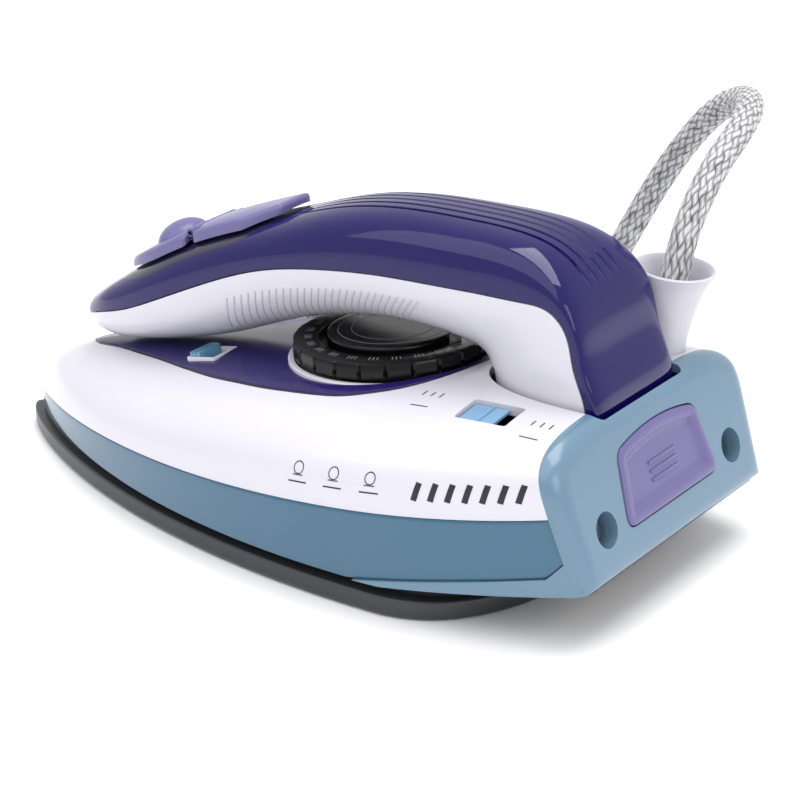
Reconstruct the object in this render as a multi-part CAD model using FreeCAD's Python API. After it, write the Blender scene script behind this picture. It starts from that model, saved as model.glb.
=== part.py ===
import FreeCAD, Part
import math
import os

# Folding travel steam iron.
# Millimetres. +X towards the heel, -X the tip, +Z up, soleplate face on z = 0.

V = FreeCAD.Vector

# ---- driving dimensions: base ------------------------------------------------
NOSE_X = -90.8            # tip of the plastic body
WIDEST_X = 38.0           # station where the body is widest
TAIL_X = 93.0             # body end at the level of the skirt
HALF_WIDTH = 46.6         # half the body width at the widest station
TAIL_DROP = 9.3           # how much narrower each side is at the tail
SOLE_NOSE_X = -93.25
SOLE_TAIL_X = 71.8
SOLE_HALF_WIDTH = 45.6
SOLE_THICK = 4.6
SHIELD_TOP = 7.2          # top of the black heat shield, bottom of the skirt
HEEL_X0 = 97.53           # heel face meets z = 0 here if it ran on
HEEL_SLOPE = 0.3259       # heel face leans forward by this much per millimetre of height
HEEL_CAP = 4.2            # depth of the heel cover at its rim
WALL = 2.2                # moulded wall of the base shells
SEAM = 0.15               # gap between two shells

# ---- driving dimensions: handle ----------------------------------------------
PIVOT = V(75.11, 0, 40.63)
HANDLE_TRAVEL = 17.0      # degrees from folded to raised
HANDLE_WALL = 1.8
SEAM_HANDLE = 0.32        # gap between the two halves of the handle
# Side view of the handle, one row per section from its tip to its foot:
# underside x, z; parting line x, z; top x, z; half width; upper and lower roundness.
HANDLE_SECTIONS = [
    (-70.6, 33.2, -70.8, 34.0, -70.9, 34.9, 1.3, 2.2, 2.2),
    (-68.9, 30.9, -69.3, 34.6, -69.4, 37.5, 4.6, 2.3, 2.2),
    (-64.8, 30.1, -65.3, 36.1, -65.4, 41.1, 8.3, 2.4, 2.2),
    (-59.3, 29.9, -59.8, 38.1, -60.0, 44.7, 11.0, 2.5, 2.2),
    (-52.3, 30.8, -53.0, 40.3, -53.2, 48.9, 12.8, 2.6, 2.3),
    (-39.7, 33.3, -41.0, 45.4, -41.4, 55.9, 14.4, 2.7, 2.3),
    (-23.0, 38.1, -25.4, 52.6, -26.4, 62.8, 15.1, 2.8, 2.3),
    (-7.0, 44.3, -9.3, 58.9, -10.4, 68.6, 15.4, 2.8, 2.3),
    (8.0, 48.6, 7.6, 62.5, 7.0, 74.4, 15.7, 2.8, 2.3),
    (21.0, 50.6, 24.0, 64.3, 24.6, 77.3, 15.9, 2.9, 2.3),
    (31.5, 50.7, 39.8, 64.9, 42.6, 77.7, 16.1, 3.1, 2.3),
    (36.6, 50.2, 51.6, 65.2, 55.6, 77.1, 16.2, 3.4, 2.3),
    (40.7, 49.5, 61.6, 65.3, 65.6, 74.3, 16.3, 4.0, 2.3),
    (43.7, 48.6, 68.6, 64.6, 72.2, 68.8, 16.4, 5.0, 2.3),
    (45.7, 47.3, 72.9, 60.4, 75.7, 62.2, 16.5, 6.0, 2.3),
    (46.9, 45.7, 74.9, 52.9, 77.9, 53.8, 16.6, 6.0, 2.3),
    (47.6, 43.7, 77.7, 44.9, 81.2, 45.0, 16.6, 6.0, 2.3),
    (47.9, 41.2, 78.2, 41.2, 81.3, 41.2, 16.6, 6.0, 2.3),
]

# ---- driving dimensions: controls --------------------------------------------
# Half outline of the leaf-shaped console panel in plan.
LEAF = [
    (-71.6, 0), (-67.6, 3.6), (-58.9, 6.6), (-49.5, 9.9), (-40.5, 13.3), (-30.9, 17.3), (-22.3, 20.7), (-14.1, 23.5),
    (-7, 25.3), (0, 26.9), (8, 28.0), (17.8, 28.5), (24, 27.8), (29, 25.6), (34.6, 21.8), (38.5, 16.5), (41.4, 8.9),
    (43.2, 0),
]
DIAL_CENTRE = V(17.76, 0, 45.4)
DIAL_TILT = 3.5
DIAL_R = 23.1
DIAL_RING_IN = 17.0
DIAL_CAP_R = 15.2
DIAL_FACETS = 24
STEAM_WINDOW = (-30.3, -22.1, -15.6, -6.6)    # x0, x1, y0, y1
STEAM_TRAVEL = 4.0
VOLT_WINDOW = (53.9, 66.7, -30.0, -21.4)
VOLT_TRAVEL = 3.2
PUSH_TRAVEL = 2.5
PUSH_LOW = 21.3           # heights of the push button's edges on the heel face
PUSH_HIGH = 36.6
SCREW_Y = 26.8
SCREW_Z = 24.0

# ---- driving dimensions: cord ------------------------------------------------
CORD_D = 6.4
GLAND_FOOT = V(72.6, 24.9, 39.0)
GLAND_AXIS = V(0.10, 0.05, 0.99).normalize()
GLAND_LENGTH = 24.5
# Route of the free cord: out of the gland, over and down behind the body, along the floor.
CORD_ROUTE = [
    V(73.6, 25.4, 49), V(75, 26.5, 66), V(77, 37, 82), V(77, 55, 90), V(68, 73, 90), V(53, 84, 82),
    V(40, 86, 66), V(30, 85, 48), V(21, 82, 29), V(7, 79, 13), V(-10, 73.5, 4), V(-29.5, 65.6, 3.3),
]
COIL_CENTRE = V(-43, 107, 0)
COIL_MID_R = 37.0
COIL_HALF = 9.9           # half the band that the turns fill, across
COIL_HEIGHT = 19.7
PLUG_TAIL = V(-18, 71, 27.8)

os.makedirs("parts", exist_ok=True)


def save(name, shape):
    """Write one node."""
    shape.exportStep("parts/" + name + ".step")


def box(x0, x1, y0, y1, z0, z1):
    return Part.makeBox(x1 - x0, y1 - y0, z1 - z0, V(x0, y0, z0))


def cyl(radius, start, end):
    """Cylinder from one point to another."""
    return Part.makeCylinder(radius, (end - start).Length, start, end - start)


def union(shapes):
    result = shapes[0]
    for shape in shapes[1:]:
        result = result.fuse(shape)
    return result.removeSplitter()


def cut(shape, *tools):
    for tool in tools:
        shape = shape.cut(tool)
    return shape


def spline_edge(points, **kwargs):
    curve = Part.BSplineCurve()
    curve.interpolate(points, **kwargs)
    return curve.toShape()


def mirror_y(shape):
    return shape.mirror(V(0, 0, 0), V(0, 1, 0))


def prism_xz(points, half_y):
    """Solid between two side planes from a closed outline in the XZ plane."""
    wire = Part.makePolygon([V(x, -half_y, z) for x, z in points] + [V(points[0][0], -half_y, points[0][1])])
    return Part.Face(wire).extrude(V(0, 2 * half_y, 0))


# ---- the outer form of the base ----------------------------------------------
def half_width(x):
    """Plan half width of the body at x."""
    if x < WIDEST_X:
        u = (WIDEST_X - x) / (WIDEST_X - NOSE_X)
        return HALF_WIDTH * (1 - u ** 2.1) ** 0.85
    t = (x - WIDEST_X) / (TAIL_X - WIDEST_X)
    return HALF_WIDTH - TAIL_DROP * t ** 1.9


def split_z(x):
    """Height of the line between casing and skirt."""
    return 19.9 + 0.083 * x + 1.2e-4 * x * x + 3.6e-6 * x ** 3


def deck_z(x):
    """Height of the casing's centre line."""
    flat = 39.106 + 0.14803 * x - 8.275e-4 * x * x - 4.524e-6 * x ** 3 + 2.902e-8 * x ** 4
    u = min(1.0, (x - NOSE_X) / 32.0)
    rise = (1 - (1 - u) ** 2.2) ** 0.62
    return split_z(x) + (flat - split_z(x)) * rise


def shoulder_z(x):
    """Height where the flanks start to curve inwards, just under the split line."""
    return split_z(x) - 1.5


def skirt_z(x):
    """Height of the lower edge of the body."""
    return SHIELD_TOP + 0.129 * max(0.0, x - 45.0)


def crown(x):
    """Roundness of the casing's cross-section: 2 is an ellipse, more is boxier."""
    t = min(1.0, max(0.0, (x + 60.0) / 80.0))
    return 2.1 + 0.9 * t * t * (3 - 2 * t) + 1.7 * max(0.0, (x - 30.0) / 60.0) ** 1.6


def arch(half, rise, power, steps=9):
    """Points over the top of a superellipse, from +half to -half."""
    points = []
    for i in range(2 * steps + 1):
        a = math.pi * i / (2 * steps)
        c, s = math.cos(a), math.sin(a)
        points.append((math.copysign(half * abs(c) ** (2 / power), c), rise * s ** (2 / power)))
    return points


BODY_STATIONS = [-90.2, -89, -87, -84, -80, -74, -66, -56, -44, -30, -14, 4, 22, 38, 52, 64, 74, 83, 91, 98]


def body_section(x, inset):
    half = max(0.25, half_width(x) - inset)
    base = shoulder_z(x)
    rise = max(0.3, deck_z(x) - inset - base)
    low = skirt_z(x) - (1.0 if inset > 1 else 0.0)
    points = [V(x, y, base + z) for y, z in arch(half, rise, crown(x))]
    top = spline_edge(points)
    left = Part.makeLine(points[-1], V(x, -half, low))
    floor = Part.makeLine(V(x, -half, low), V(x, half, low))
    right = Part.makeLine(V(x, half, low), points[0])
    return Part.Wire([top, left, floor, right])


def body_solid(inset=0.0, first=0):
    """Outer form of the base, or the same form moved inwards by inset."""
    return Part.makeLoft([body_section(x, inset) for x in BODY_STATIONS[first:]], True, False)


def heel_x(z, back=0.0):
    """Heel face, or a face parallel to it and further forward by back."""
    return HEEL_X0 - HEEL_SLOPE * z - back


def behind_heel(back=0.0, half_y=60.0):
    """Everything to the rear of a plane parallel to the heel face."""
    return prism_xz([(heel_x(-5, back), -5), (150, -5), (150, 80), (heel_x(80, back), 80)], half_y)


def below_split(shift=0.0):
    """Everything under the line between casing and skirt."""
    points = [V(x, -70, split_z(x) + shift) for x in range(-100, 121, 20)]
    top = spline_edge(points)
    corner_a, corner_b = V(120, -70, -10), V(-100, -70, -10)
    sides = [
        Part.makeLine(points[-1], corner_a),
        Part.makeLine(corner_a, corner_b),
        Part.makeLine(corner_b, points[0]),
    ]
    return Part.Face(Part.Wire([top] + sides)).extrude(V(0, 140, 0))


# ---- the outer form of the handle --------------------------------------------
def handle_arch(row, inset, lower, lift=0.0):
    """Points of one section's arch over or under the parting line, and the way down to its foot."""
    bx, bz, px, pz, tx, tz, half, n_up, n_low = row
    half = max(0.4, half - inset)
    end = V(bx, 0, bz) if lower else V(tx, 0, tz)
    part = V(px, 0, pz)
    reach = end - part
    length = max(0.3, reach.Length - inset)
    reach.normalize()
    if lift < 0:
        part = part - reach * lift
        length += lift
    points = [part + V(0, y, 0) + reach * h for y, h in arch(half, length, n_low if lower else n_up)]
    return points, reach


def handle_section(row, inset, lower, lift):
    points, reach = handle_arch(row, inset, lower, lift)
    base = [points[-1], points[0]]
    if lift > 0:
        base = [points[-1], points[-1] - reach * lift, points[0] - reach * lift, points[0]]
    return Part.Wire([spline_edge(points)] + Part.makePolygon(base).Edges)


def handle_solid(lower, inset=0.0, first=0, last=None, lift=0.6, extra=None):
    """Half of the handle's form: the part under or over the parting line.

    A lift above zero runs the form on past the parting line, and one below it stops it short.
    """
    rows = HANDLE_SECTIONS[first:last] + ([extra] if extra else [])
    return Part.makeLoft([handle_section(row, inset, lower, lift) for row in rows], True, False)


def handle_shell(lower, lift):
    """Wall of the handle as one loft of U-shaped sections."""
    sections = []
    for row in HANDLE_SECTIONS:
        outer, _ = handle_arch(row, 0.0, lower, lift)
        inner, _ = handle_arch(row, HANDLE_WALL, lower, lift)
        sections.append(Part.Wire([spline_edge(outer), Part.makeLine(outer[-1], inner[-1]),
                                   spline_edge(inner[::-1]), Part.makeLine(inner[0], outer[0])]))
    return Part.makeLoft(sections, True, False)


def deck_frame(x, y, depth=0.0):
    """Placement on the casing's top at (x, y), its Z along the deck's normal in side view."""
    slope = (deck_z(x + 1) - deck_z(x - 1)) / 2
    half = half_width(x)
    fall = (1 - (abs(y) / half) ** crown(x)) ** (1 / crown(x))
    z = shoulder_z(x) + (deck_z(x) - shoulder_z(x)) * fall
    turn = FreeCAD.Rotation(V(0, 1, 0), -math.degrees(math.atan(slope)))
    normal = turn.multVec(V(0, 0, 1))
    return FreeCAD.Placement(V(x, y, z) - normal * depth, turn)


def placed(shape, placement):
    result = shape.copy()
    result.Placement = placement.multiply(shape.Placement)
    return result


def on_heel(shape):
    """Shape drawn with X = Y of the model, Y up the heel face, Z out of it, moved there."""
    lean = math.degrees(math.atan(HEEL_SLOPE))
    turn = FreeCAD.Rotation(V(0, 1, 0), 90 - lean).multiply(FreeCAD.Rotation(V(0, 0, 1), 90))
    return placed(shape, FreeCAD.Placement(V(HEEL_X0, 0, 0), turn))


def heel_v(z):
    """Distance up the heel face for a height z."""
    return z * math.sqrt(1 + HEEL_SLOPE ** 2)


def arc_path(points, tightness=0.45):
    """Straight runs joined by tangent arcs."""
    edges = []
    radii = []
    start = points[0]
    for before, corner, after in zip(points, points[1:], points[2:]):
        run_in, run_out = corner - before, after - corner
        half_turn = run_in.getAngle(run_out) / 2
        reach = tightness * min(run_in.Length, run_out.Length)
        d_in, d_out = V(run_in).normalize(), V(run_out).normalize()
        a, b = corner - d_in * reach, corner + d_out * reach
        radius = reach / math.tan(half_turn)
        middle = corner + (d_out - d_in).normalize() * (radius / math.cos(half_turn) - radius)
        edges.append(Part.LineSegment(start, a).toShape())
        edges.append(Part.Arc(a, middle, b).toShape())
        radii.append(radius)
        start = b
    edges.append(Part.LineSegment(start, points[-1]).toShape())
    return Part.Wire(edges), radii


def pipe(points, radius, tightness=0.45):
    """Round bar or tube's outer form along a route; gives the solid, its path and the radii."""
    path, radii = arc_path(points, tightness)
    ring = Part.Wire(Part.makeCircle(radius, points[0], points[1] - points[0]))
    return path.makePipeShell([ring], True, False), path, radii


def face_of(points):
    """Flat face through a loop of points."""
    return Part.Face(Part.makePolygon(points + points[:1]))


def sole_outline(grow, z):
    """Closed soleplate outline moved outwards by grow, at height z."""
    nose = V(SOLE_NOSE_X - grow, 0, z)
    tail = V(SOLE_TAIL_X + grow, 0, z)
    half = SOLE_HALF_WIDTH + grow
    edges = []
    for side in (1, -1):
        flank = V(41.95, side * half, z)
        front = Part.BezierCurve()
        front.setPoles([nose, nose + V(0, side * 5, 0), V(-42.0, side * half, z), flank])
        rear = Part.BezierCurve()
        rear.setPoles([flank, V(63.2, side * half, z), V(tail.x, side * 25, z), tail])
        edges.append([front.toShape(), rear.toShape()])
    return Part.Wire(edges[0] + edges[1][::-1])


def sole_plate(grow, z0, z1):
    return Part.Face(sole_outline(grow, z0)).extrude(V(0, 0, z1 - z0))


# ---- hot end: soleplate, steam chamber, element --------------------------------
ISLAND_TOP = 13.0
ELEMENT_Z = 9.0
ELEMENT_R = 3.0
FRAME_SCREWS = [(56, 34), (56, -34), (-2, 33), (-2, -33)]


def island_outline(inset, z0, z1):
    """Raised casting round the heating element."""
    half = 22.0 - inset
    front = V(-62.0 + 1.6 * inset, 0, z0)
    rear = 44.0 - inset
    side = []
    for sign in (1, -1):
        curve = Part.BezierCurve()
        curve.setPoles([front, front + V(0, sign * 6, 0), V(-34, sign * half, z0), V(-14, sign * half, z0)])
        side.append(curve.toShape())
    back = Part.makePolygon([V(-14, half, z0), V(rear, half, z0), V(rear, -half, z0), V(-14, -half, z0)])
    return Part.Face(Part.Wire([side[0]] + back.Edges + [side[1]])).extrude(V(0, 0, z1 - z0))


def element_path():
    side = 15.0
    end = V(-8, side, ELEMENT_Z), V(-8, -side, ELEMENT_Z)
    return Part.Wire([
        Part.makeLine(V(52, side, ELEMENT_Z), end[0]),
        Part.Arc(end[0], V(-8 - side, 0, ELEMENT_Z), end[1]).toShape(),
        Part.makeLine(end[1], V(52, -side, ELEMENT_Z)),
    ])


def element_tube(radius):
    ring = Part.Wire(Part.makeCircle(radius, V(52, 15, ELEMENT_Z), V(1, 0, 0)))
    return element_path().makePipeShell([ring], True, False)


def soleplate():
    body = union([sole_plate(0, 0, SOLE_THICK), island_outline(0, SOLE_THICK - 0.1, ISLAND_TOP)])
    chamber = box(-14, 26, -9, 9, 5.2, 14)
    spread = island_outline(0, 5.2, 14).common(box(-56, -30, -14, 14, 5, 15)).common(island_outline(3, 5, 15))
    channel = box(-33, -12, -3, 3, 4.4, 5.6)
    inlet = box(DRIP.x - 2.5, -13, DRIP.y - 2.5, -7, ISLAND_TOP - 2.2, 14)
    body = cut(body, chamber, spread, channel, inlet, element_tube(ELEMENT_R + 0.05))
    for x, y in FRAME_SCREWS:
        body = body.cut(cyl(1.55, V(x, y, 1.5), V(x, y, 6)))
    for x in (-51, -45, -39, -33):
        for y in ([0] if x == -51 else [-7, 0, 7]):
            body = body.cut(cyl(1.3, V(x, y, -1), V(x, y, 8)))
    return body


def chamber_plate(inset, z0, z1):
    plate = island_outline(inset, z0, z1)
    return plate.common(box(-70, 34, -30, 30, z0, z1))


def chamber_gasket():
    ring = chamber_plate(1.0, ISLAND_TOP, ISLAND_TOP + 0.6)
    hollow = chamber_plate(3.2, ISLAND_TOP - 1, ISLAND_TOP + 2)
    hollow = hollow.common(box(-70, 31.8, -30, 30, 0, 30))
    return ring.cut(hollow)


DRIP = V(-24.0, -11.0, 0)


def chamber_cover():
    plate = chamber_plate(1.0, ISLAND_TOP + 0.6, ISLAND_TOP + 1.8)
    return plate.cut(cyl(2.0, V(DRIP.x, DRIP.y, 10), V(DRIP.x, DRIP.y, 20)))


def heating_element():
    tube = element_tube(ELEMENT_R)
    pins = [cyl(1.0, V(52, y, ELEMENT_Z), V(60, y, ELEMENT_Z)) for y in (15, -15)]
    return union([tube] + pins)


SPINDLE_AXIS = V(-math.sin(math.radians(DIAL_TILT)), 0, math.cos(math.radians(DIAL_TILT)))
COVER_TOP = ISLAND_TOP + 1.8


def dial_point(height):
    """Point on the dial's axis, height above the rim's plane."""
    return DIAL_CENTRE + SPINDLE_AXIS * height


def dial_disc(radius, low, high):
    return cyl(radius, dial_point(low), dial_point(high))


def thermostat():
    block = box(8, 30, -7, 7, COVER_TOP, COVER_TOP + 5)
    tower = dial_disc(5.0, -30, -22.0).common(box(0, 40, -10, 10, COVER_TOP + 4, 60))
    return union([block, tower]).cut(dial_disc(2.55, -28, -10))


def thermal_fuse():
    barrel = cyl(2.4, V(-12, 12, COVER_TOP + 2.6), V(2, 12, COVER_TOP + 2.6))
    leads = cyl(0.5, V(-18, 12, COVER_TOP + 2.6), V(6.5, 12, COVER_TOP + 2.6))
    return union([barrel, leads])


def fuse_clip():
    strap = box(-7.5, -3.5, 9.2, 18.5, COVER_TOP, COVER_TOP + 5.6)
    return cut(strap, cyl(2.45, V(-12, 12, COVER_TOP + 2.6), V(2, 12, COVER_TOP + 2.6)),
               box(-8, -3, 15.2, 19, COVER_TOP + 1, COVER_TOP + 6))


# ---- plastic shells of the base ------------------------------------------------
def heat_shield():
    skid = sole_plate(-3.2, SOLE_THICK, SHIELD_TOP - 0.1)
    slab = prism_xz([(-88, 6.9), (45, 6.9), (94, 13.2), (94, 15.5), (45, 9.2), (-88, 9.2)], 60)
    slab = slab.common(body_solid(WALL + 0.95, 3))
    slab = slab.cut(behind_heel(WALL + 0.4))
    shield = union([skid, slab])
    shield = shield.cut(island_outline(-1.5, 0, 20))
    shield = shield.cut(box(43, 62, -19, 19, 0, 12.2))
    for x, y in FRAME_SCREWS:
        shield = shield.cut(cyl(1.7, V(x, y, 0), V(x, y, 20)))
    return shield


def skirt_lip(half_y=60.0):
    """Region of the heel cover's forward lip under the side panel."""
    lip = prism_xz([(38.0, 7.2), (83.0, 16.2), (86.6, 20.0), (100, 20), (100, 2), (38, 2)], half_y)
    return lip


def lower_skirt():
    shell = cut(body_solid(0.45), body_solid(WALL + 0.45, 2))
    shell = shell.common(below_split(-0.3))
    return cut(shell, behind_heel(HEEL_CAP + 0.1), skirt_lip().translate(V(-0.2, 0, 0.12)))


def console_prism(grow, z0=10.0):
    """Upright prism over the leaf-shaped console panel."""
    tip, heel = LEAF[0][0], LEAF[-1][0]
    side = [V(tip - 1.5 * grow, 0, z0)]
    side += [V(x, y + grow, z0) for x, y in LEAF[1:-1]]
    side.append(V(heel + grow, 0, z0))
    upper = spline_edge(side)
    lower = spline_edge([V(p.x, -p.y, p.z) for p in side])
    return Part.Face(Part.Wire([upper, lower])).extrude(V(0, 0, 60))


def well_prism(z0, z1, grow=0.0):
    """Opening in the deck that takes the foot of the handle."""
    half = 17.7 + grow
    front = [V(78.2 - h, y, z0) for y, h in arch(half, 32.0 + grow, 2.3)]
    rear = 82.55 + grow
    corner_r = 2.0
    corners = [
        Part.makeLine(front[-1], V(rear - corner_r, -half, z0)),
        Part.Arc(V(rear - corner_r, -half, z0), V(rear - 0.586, -half + 0.586, z0), V(rear, -half + corner_r, z0)).toShape(),
        Part.makeLine(V(rear, -half + corner_r, z0), V(rear, half - corner_r, z0)),
        Part.Arc(V(rear, half - corner_r, z0), V(rear - 0.586, half - 0.586, z0), V(rear - corner_r, half, z0)).toShape(),
        Part.makeLine(V(rear - corner_r, half, z0), front[0]),
    ]
    return Part.Face(Part.Wire([spline_edge(front)] + corners)).extrude(V(0, 0, z1 - z0))


def window_prism(window, grow=0.0, z0=20.0, z1=60.0):
    x0, x1, y0, y1 = window
    block = box(x0 - grow, x1 + grow, y0 - grow, y1 + grow, z0, z1)
    return block


CONSOLE_THICK = 1.1


def upper_casing():
    shell = cut(body_solid(), body_solid(WALL, 3), below_split(0), behind_heel(HEEL_CAP))
    recess = cut(console_prism(0.15), body_solid(CONSOLE_THICK))
    shell = cut(shell, recess, dial_disc(24.4, -12, 20), well_prism(20, 70))
    shell = cut(shell, window_prism(STEAM_WINDOW, 0.25), window_prism(VOLT_WINDOW))
    gland_low, gland_high = GLAND_FOOT - GLAND_AXIS * 10, GLAND_FOOT + GLAND_AXIS * 20
    return shell.cut(cyl(4.85, gland_low, gland_high))


def console_panel():
    skin = cut(body_solid(-0.25), body_solid(CONSOLE_THICK))
    panel = skin.common(console_prism(0))
    return cut(panel, dial_disc(24.4, -12, 20), window_prism(STEAM_WINDOW, 0.25), box(-100, 100, -60, 60, 0, 20))


def heel_cover():
    outer = body_solid()
    cap = outer.common(behind_heel(HEEL_CAP - 0.02)).cut(behind_heel(0))
    lips = outer.common(skirt_lip()).cut(behind_heel(HEEL_CAP - 0.5))
    shell = union([cap, lips.common(below_split(-0.3))])
    hollow = body_solid(WALL, 2).cut(behind_heel(WALL))
    shell = cut(shell, hollow, well_prism(20, 70))
    floor_cut = prism_xz([(30, 0), (30, 9.4), (45, 9.4), (85, 14.6), (85, 0)], 60).common(body_solid(WALL + 0.2, 3))
    shell = shell.cut(floor_cut)
    for y in (-SCREW_Y, SCREW_Y):
        seat = Part.makeCylinder(3.9, 30, V(y, heel_v(SCREW_Z), -2.0))
        shell = shell.cut(on_heel(seat))
    shell = shell.cut(on_heel(push_outline(0.25, -12, 5)))
    return shell


def push_outline(grow, low, high):
    """Push button's outline on the heel face: a trapezium with an arched top."""
    v0, v1 = heel_v(PUSH_LOW) - grow, heel_v(PUSH_HIGH) + grow
    w0, w1 = 19.2 + grow, 16.4 + grow
    side_a = Part.makeLine(V(-w1, v1, low), V(-w0, v0, low))
    base = Part.makeLine(V(-w0, v0, low), V(w0, v0, low))
    side_b = Part.makeLine(V(w0, v0, low), V(w1, v1, low))
    arch_top = Part.Arc(V(w1, v1, low), V(0, v1 + 2.2, low), V(-w1, v1, low)).toShape()
    solid = Part.Face(Part.Wire([side_a, base, side_b, arch_top])).extrude(V(0, 0, high - low))
    upright = [e for e in solid.Edges if abs(e.BoundBox.ZLength - (high - low)) < 0.01 and e.BoundBox.XLength < 0.01]
    return solid.makeFillet(max(0.8, 2.6 + grow), upright)


# ---- frame inside the base -----------------------------------------------------
FRAME_Z = 20.7
FRAME_THICK = 2.2
EAR_IN, EAR_OUT, EAR_R = 7.0, 10.0, 4.0
YOKE_IN, YOKE_OUT, YOKE_R = 11.0, 13.0, 4.0
PIN_R = 2.0
BUSH_R = 3.0


def side_pair(y0, y1, make):
    """A piece between y0 and y1 and its mirror image, as one list."""
    piece = make(y0, y1)
    return [piece, mirror_y(piece)]


def across(radius, x, z, y0, y1):
    """Cylinder along Y."""
    return cyl(radius, V(x, y0, z), V(x, y1, z))


def inner_frame():
    plate = body_solid(WALL + 0.9, 3).common(box(-12, 77, -50, 50, FRAME_Z, FRAME_Z + FRAME_THICK))
    plate = cut(plate, box(2, 34, -12, 12, 0, 60), cyl(5.8, V(64, -1.6, 0), V(64, -1.6, 60)))

    def ear(y0, y1):
        x0, x1 = PIVOT.x - EAR_R, PIVOT.x + EAR_R
        return union([box(x0, x1, y0, y1, FRAME_Z + 1, PIVOT.z), across(EAR_R, PIVOT.x, PIVOT.z, y0, y1)])

    frame = union([plate] + side_pair(EAR_IN, EAR_OUT, ear))
    for x, y in FRAME_SCREWS:
        foot = SHIELD_TOP + 2.1 + 0.129 * max(0, x + 4 - 45)
        frame = union([frame, cyl(3.6, V(x, y, foot), V(x, y, FRAME_Z + 1))])
    for x, y in FRAME_SCREWS:
        frame = frame.cut(cyl(1.6, V(x, y, 0), V(x, y, 60)))
    return frame.cut(across(PIN_R + 0.02, PIVOT.x, PIVOT.z, -20, 20))


def frame_screws():
    top = FRAME_Z + FRAME_THICK
    screws = []
    for x, y in FRAME_SCREWS:
        screw = union([cyl(1.5, V(x, y, 1.8), V(x, y, top + 1)), cyl(2.9, V(x, y, top), V(x, y, top + 2))])
        screws.append(screw.cut(box(x - 2.2, x + 2.2, y - 0.4, y + 0.4, top + 1.2, top + 3)))
    return Part.Compound(screws)


def heel_screws():
    screws = []
    for y in (-SCREW_Y, SCREW_Y):
        v = heel_v(SCREW_Z)
        head = Part.makeCylinder(2.9, 1.8, V(y, v, -5.5))
        shank = Part.makeCylinder(1.3, 7.0, V(y, v, -11.8))
        slot = Part.makeBox(4.2, 0.8, 1.0, V(y - 2.1, v - 0.4, -4.5))
        cross = Part.makeBox(0.8, 4.2, 1.0, V(y - 0.4, v - 2.1, -4.5))
        screws.append(on_heel(cut(head.fuse(shank), slot, cross)))
    return Part.Compound(screws)


def heel_bosses():
    """Screw pillars inside the heel cover, open to the outside at the countersinks."""
    bosses = []
    for y in (-SCREW_Y, SCREW_Y):
        v = heel_v(SCREW_Z)
        tube = Part.makeCylinder(4.9, 8.0, V(y, v, -9.6))
        bore = Part.makeCylinder(3.9, 9.0, V(y, v, -7.4))
        hole = Part.makeCylinder(1.5, 20.0, V(y, v, -12))
        bosses.append(on_heel(cut(tube, bore, hole)))
    return bosses


# ---- temperature dial ------------------------------------------------------------
def around_dial(shape, angle):
    """Turn a shape drawn for the dial about the dial's axis."""
    result = shape.copy()
    result.rotate(DIAL_CENTRE, SPINDLE_AXIS, angle)
    return result


def at_dial(shape):
    """Place a shape drawn about the Z axis, z = 0 at the rim's plane, on the dial."""
    return placed(shape, FreeCAD.Placement(DIAL_CENTRE, FreeCAD.Rotation(V(0, 1, 0), -DIAL_TILT)))


def temperature_dial():
    rim = Part.makeCylinder(DIAL_R, 4.0, V(0, 0, -4.0))
    rim = rim.cut(Part.makeCylinder(DIAL_RING_IN, 12, V(0, 0, -6)))
    top_edges = [e for e in rim.Edges if e.BoundBox.ZMin > -0.01]
    rim = rim.makeChamfer(0.6, top_edges)
    for i in range(DIAL_FACETS):
        angle = 2 * math.pi * i / DIAL_FACETS
        spot = V(DIAL_R * math.cos(angle), DIAL_R * math.sin(angle), 0)
        rim = rim.cut(Part.makeCylinder(0.55, 4.0, spot + V(0, 0, -4.5)))
    hub = Part.makeCylinder(14.6, 1.4, V(0, 0, -4.6))
    spokes = [Part.makeBox(18.2, 5.0, 1.4, V(0, -2.5, -4.6)) for _ in range(3)]
    for i, spoke in enumerate(spokes):
        spoke.rotate(V(0, 0, 0), V(0, 0, 1), 120 * i)
    socket = Part.makeCylinder(4.6, 7.0, V(0, 0, -10.5))
    dial = union([rim, hub, socket] + spokes).cut(Part.makeCylinder(1.4, 5.0, V(16.65, 0, -3.15)))
    return at_dial(dial.cut(Part.makeCylinder(2.52, 6.5, V(0, 0, -11))))


def dial_cap():
    disc = Part.makeCylinder(DIAL_CAP_R, 4.2, V(0, 0, -3.1))
    edges = [e for e in disc.Edges if e.BoundBox.ZMin > 1.0]
    return at_dial(disc.makeFillet(0.8, edges))


def dial_peg():
    peg = Part.makeCylinder(1.35, 4.6, V(16.65, 0, -3.1))
    edges = [e for e in peg.Edges if e.BoundBox.ZMin > 1.4]
    return at_dial(peg.makeFillet(1.1, edges))


def thermostat_spindle():
    return dial_disc(2.5, -27.5, -4.6)


def dial_collar():
    """White ring and floor round the dial, let into the casing."""
    wall = Part.makeCylinder(24.35, 5.0, V(0, 0, -9.4)).cut(Part.makeCylinder(22.9, 10, V(0, 0, -8.4)))
    collar = wall.cut(Part.makeCylinder(5.0, 30, V(0, 0, -20)))
    return at_dial(collar)


# ---- steam and voltage sliders ------------------------------------------------------
def window_centre(window):
    return (window[0] + window[1]) / 2, (window[2] + window[3]) / 2


def slider_bezel():
    x0, x1, y0, y1 = STEAM_WINDOW
    cx, cy = window_centre(STEAM_WINDOW)
    half_x, half_y = (x1 - x0) / 2, (y1 - y0) / 2
    frame = box(-half_x, half_x, -half_y, half_y, -2.0, 0.5)
    frame = frame.cut(box(-half_x + 0.55, half_x - 0.55, -half_y + 0.55, half_y - 0.55, -3, 3))
    return placed(frame, deck_frame(cx, cy))


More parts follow.
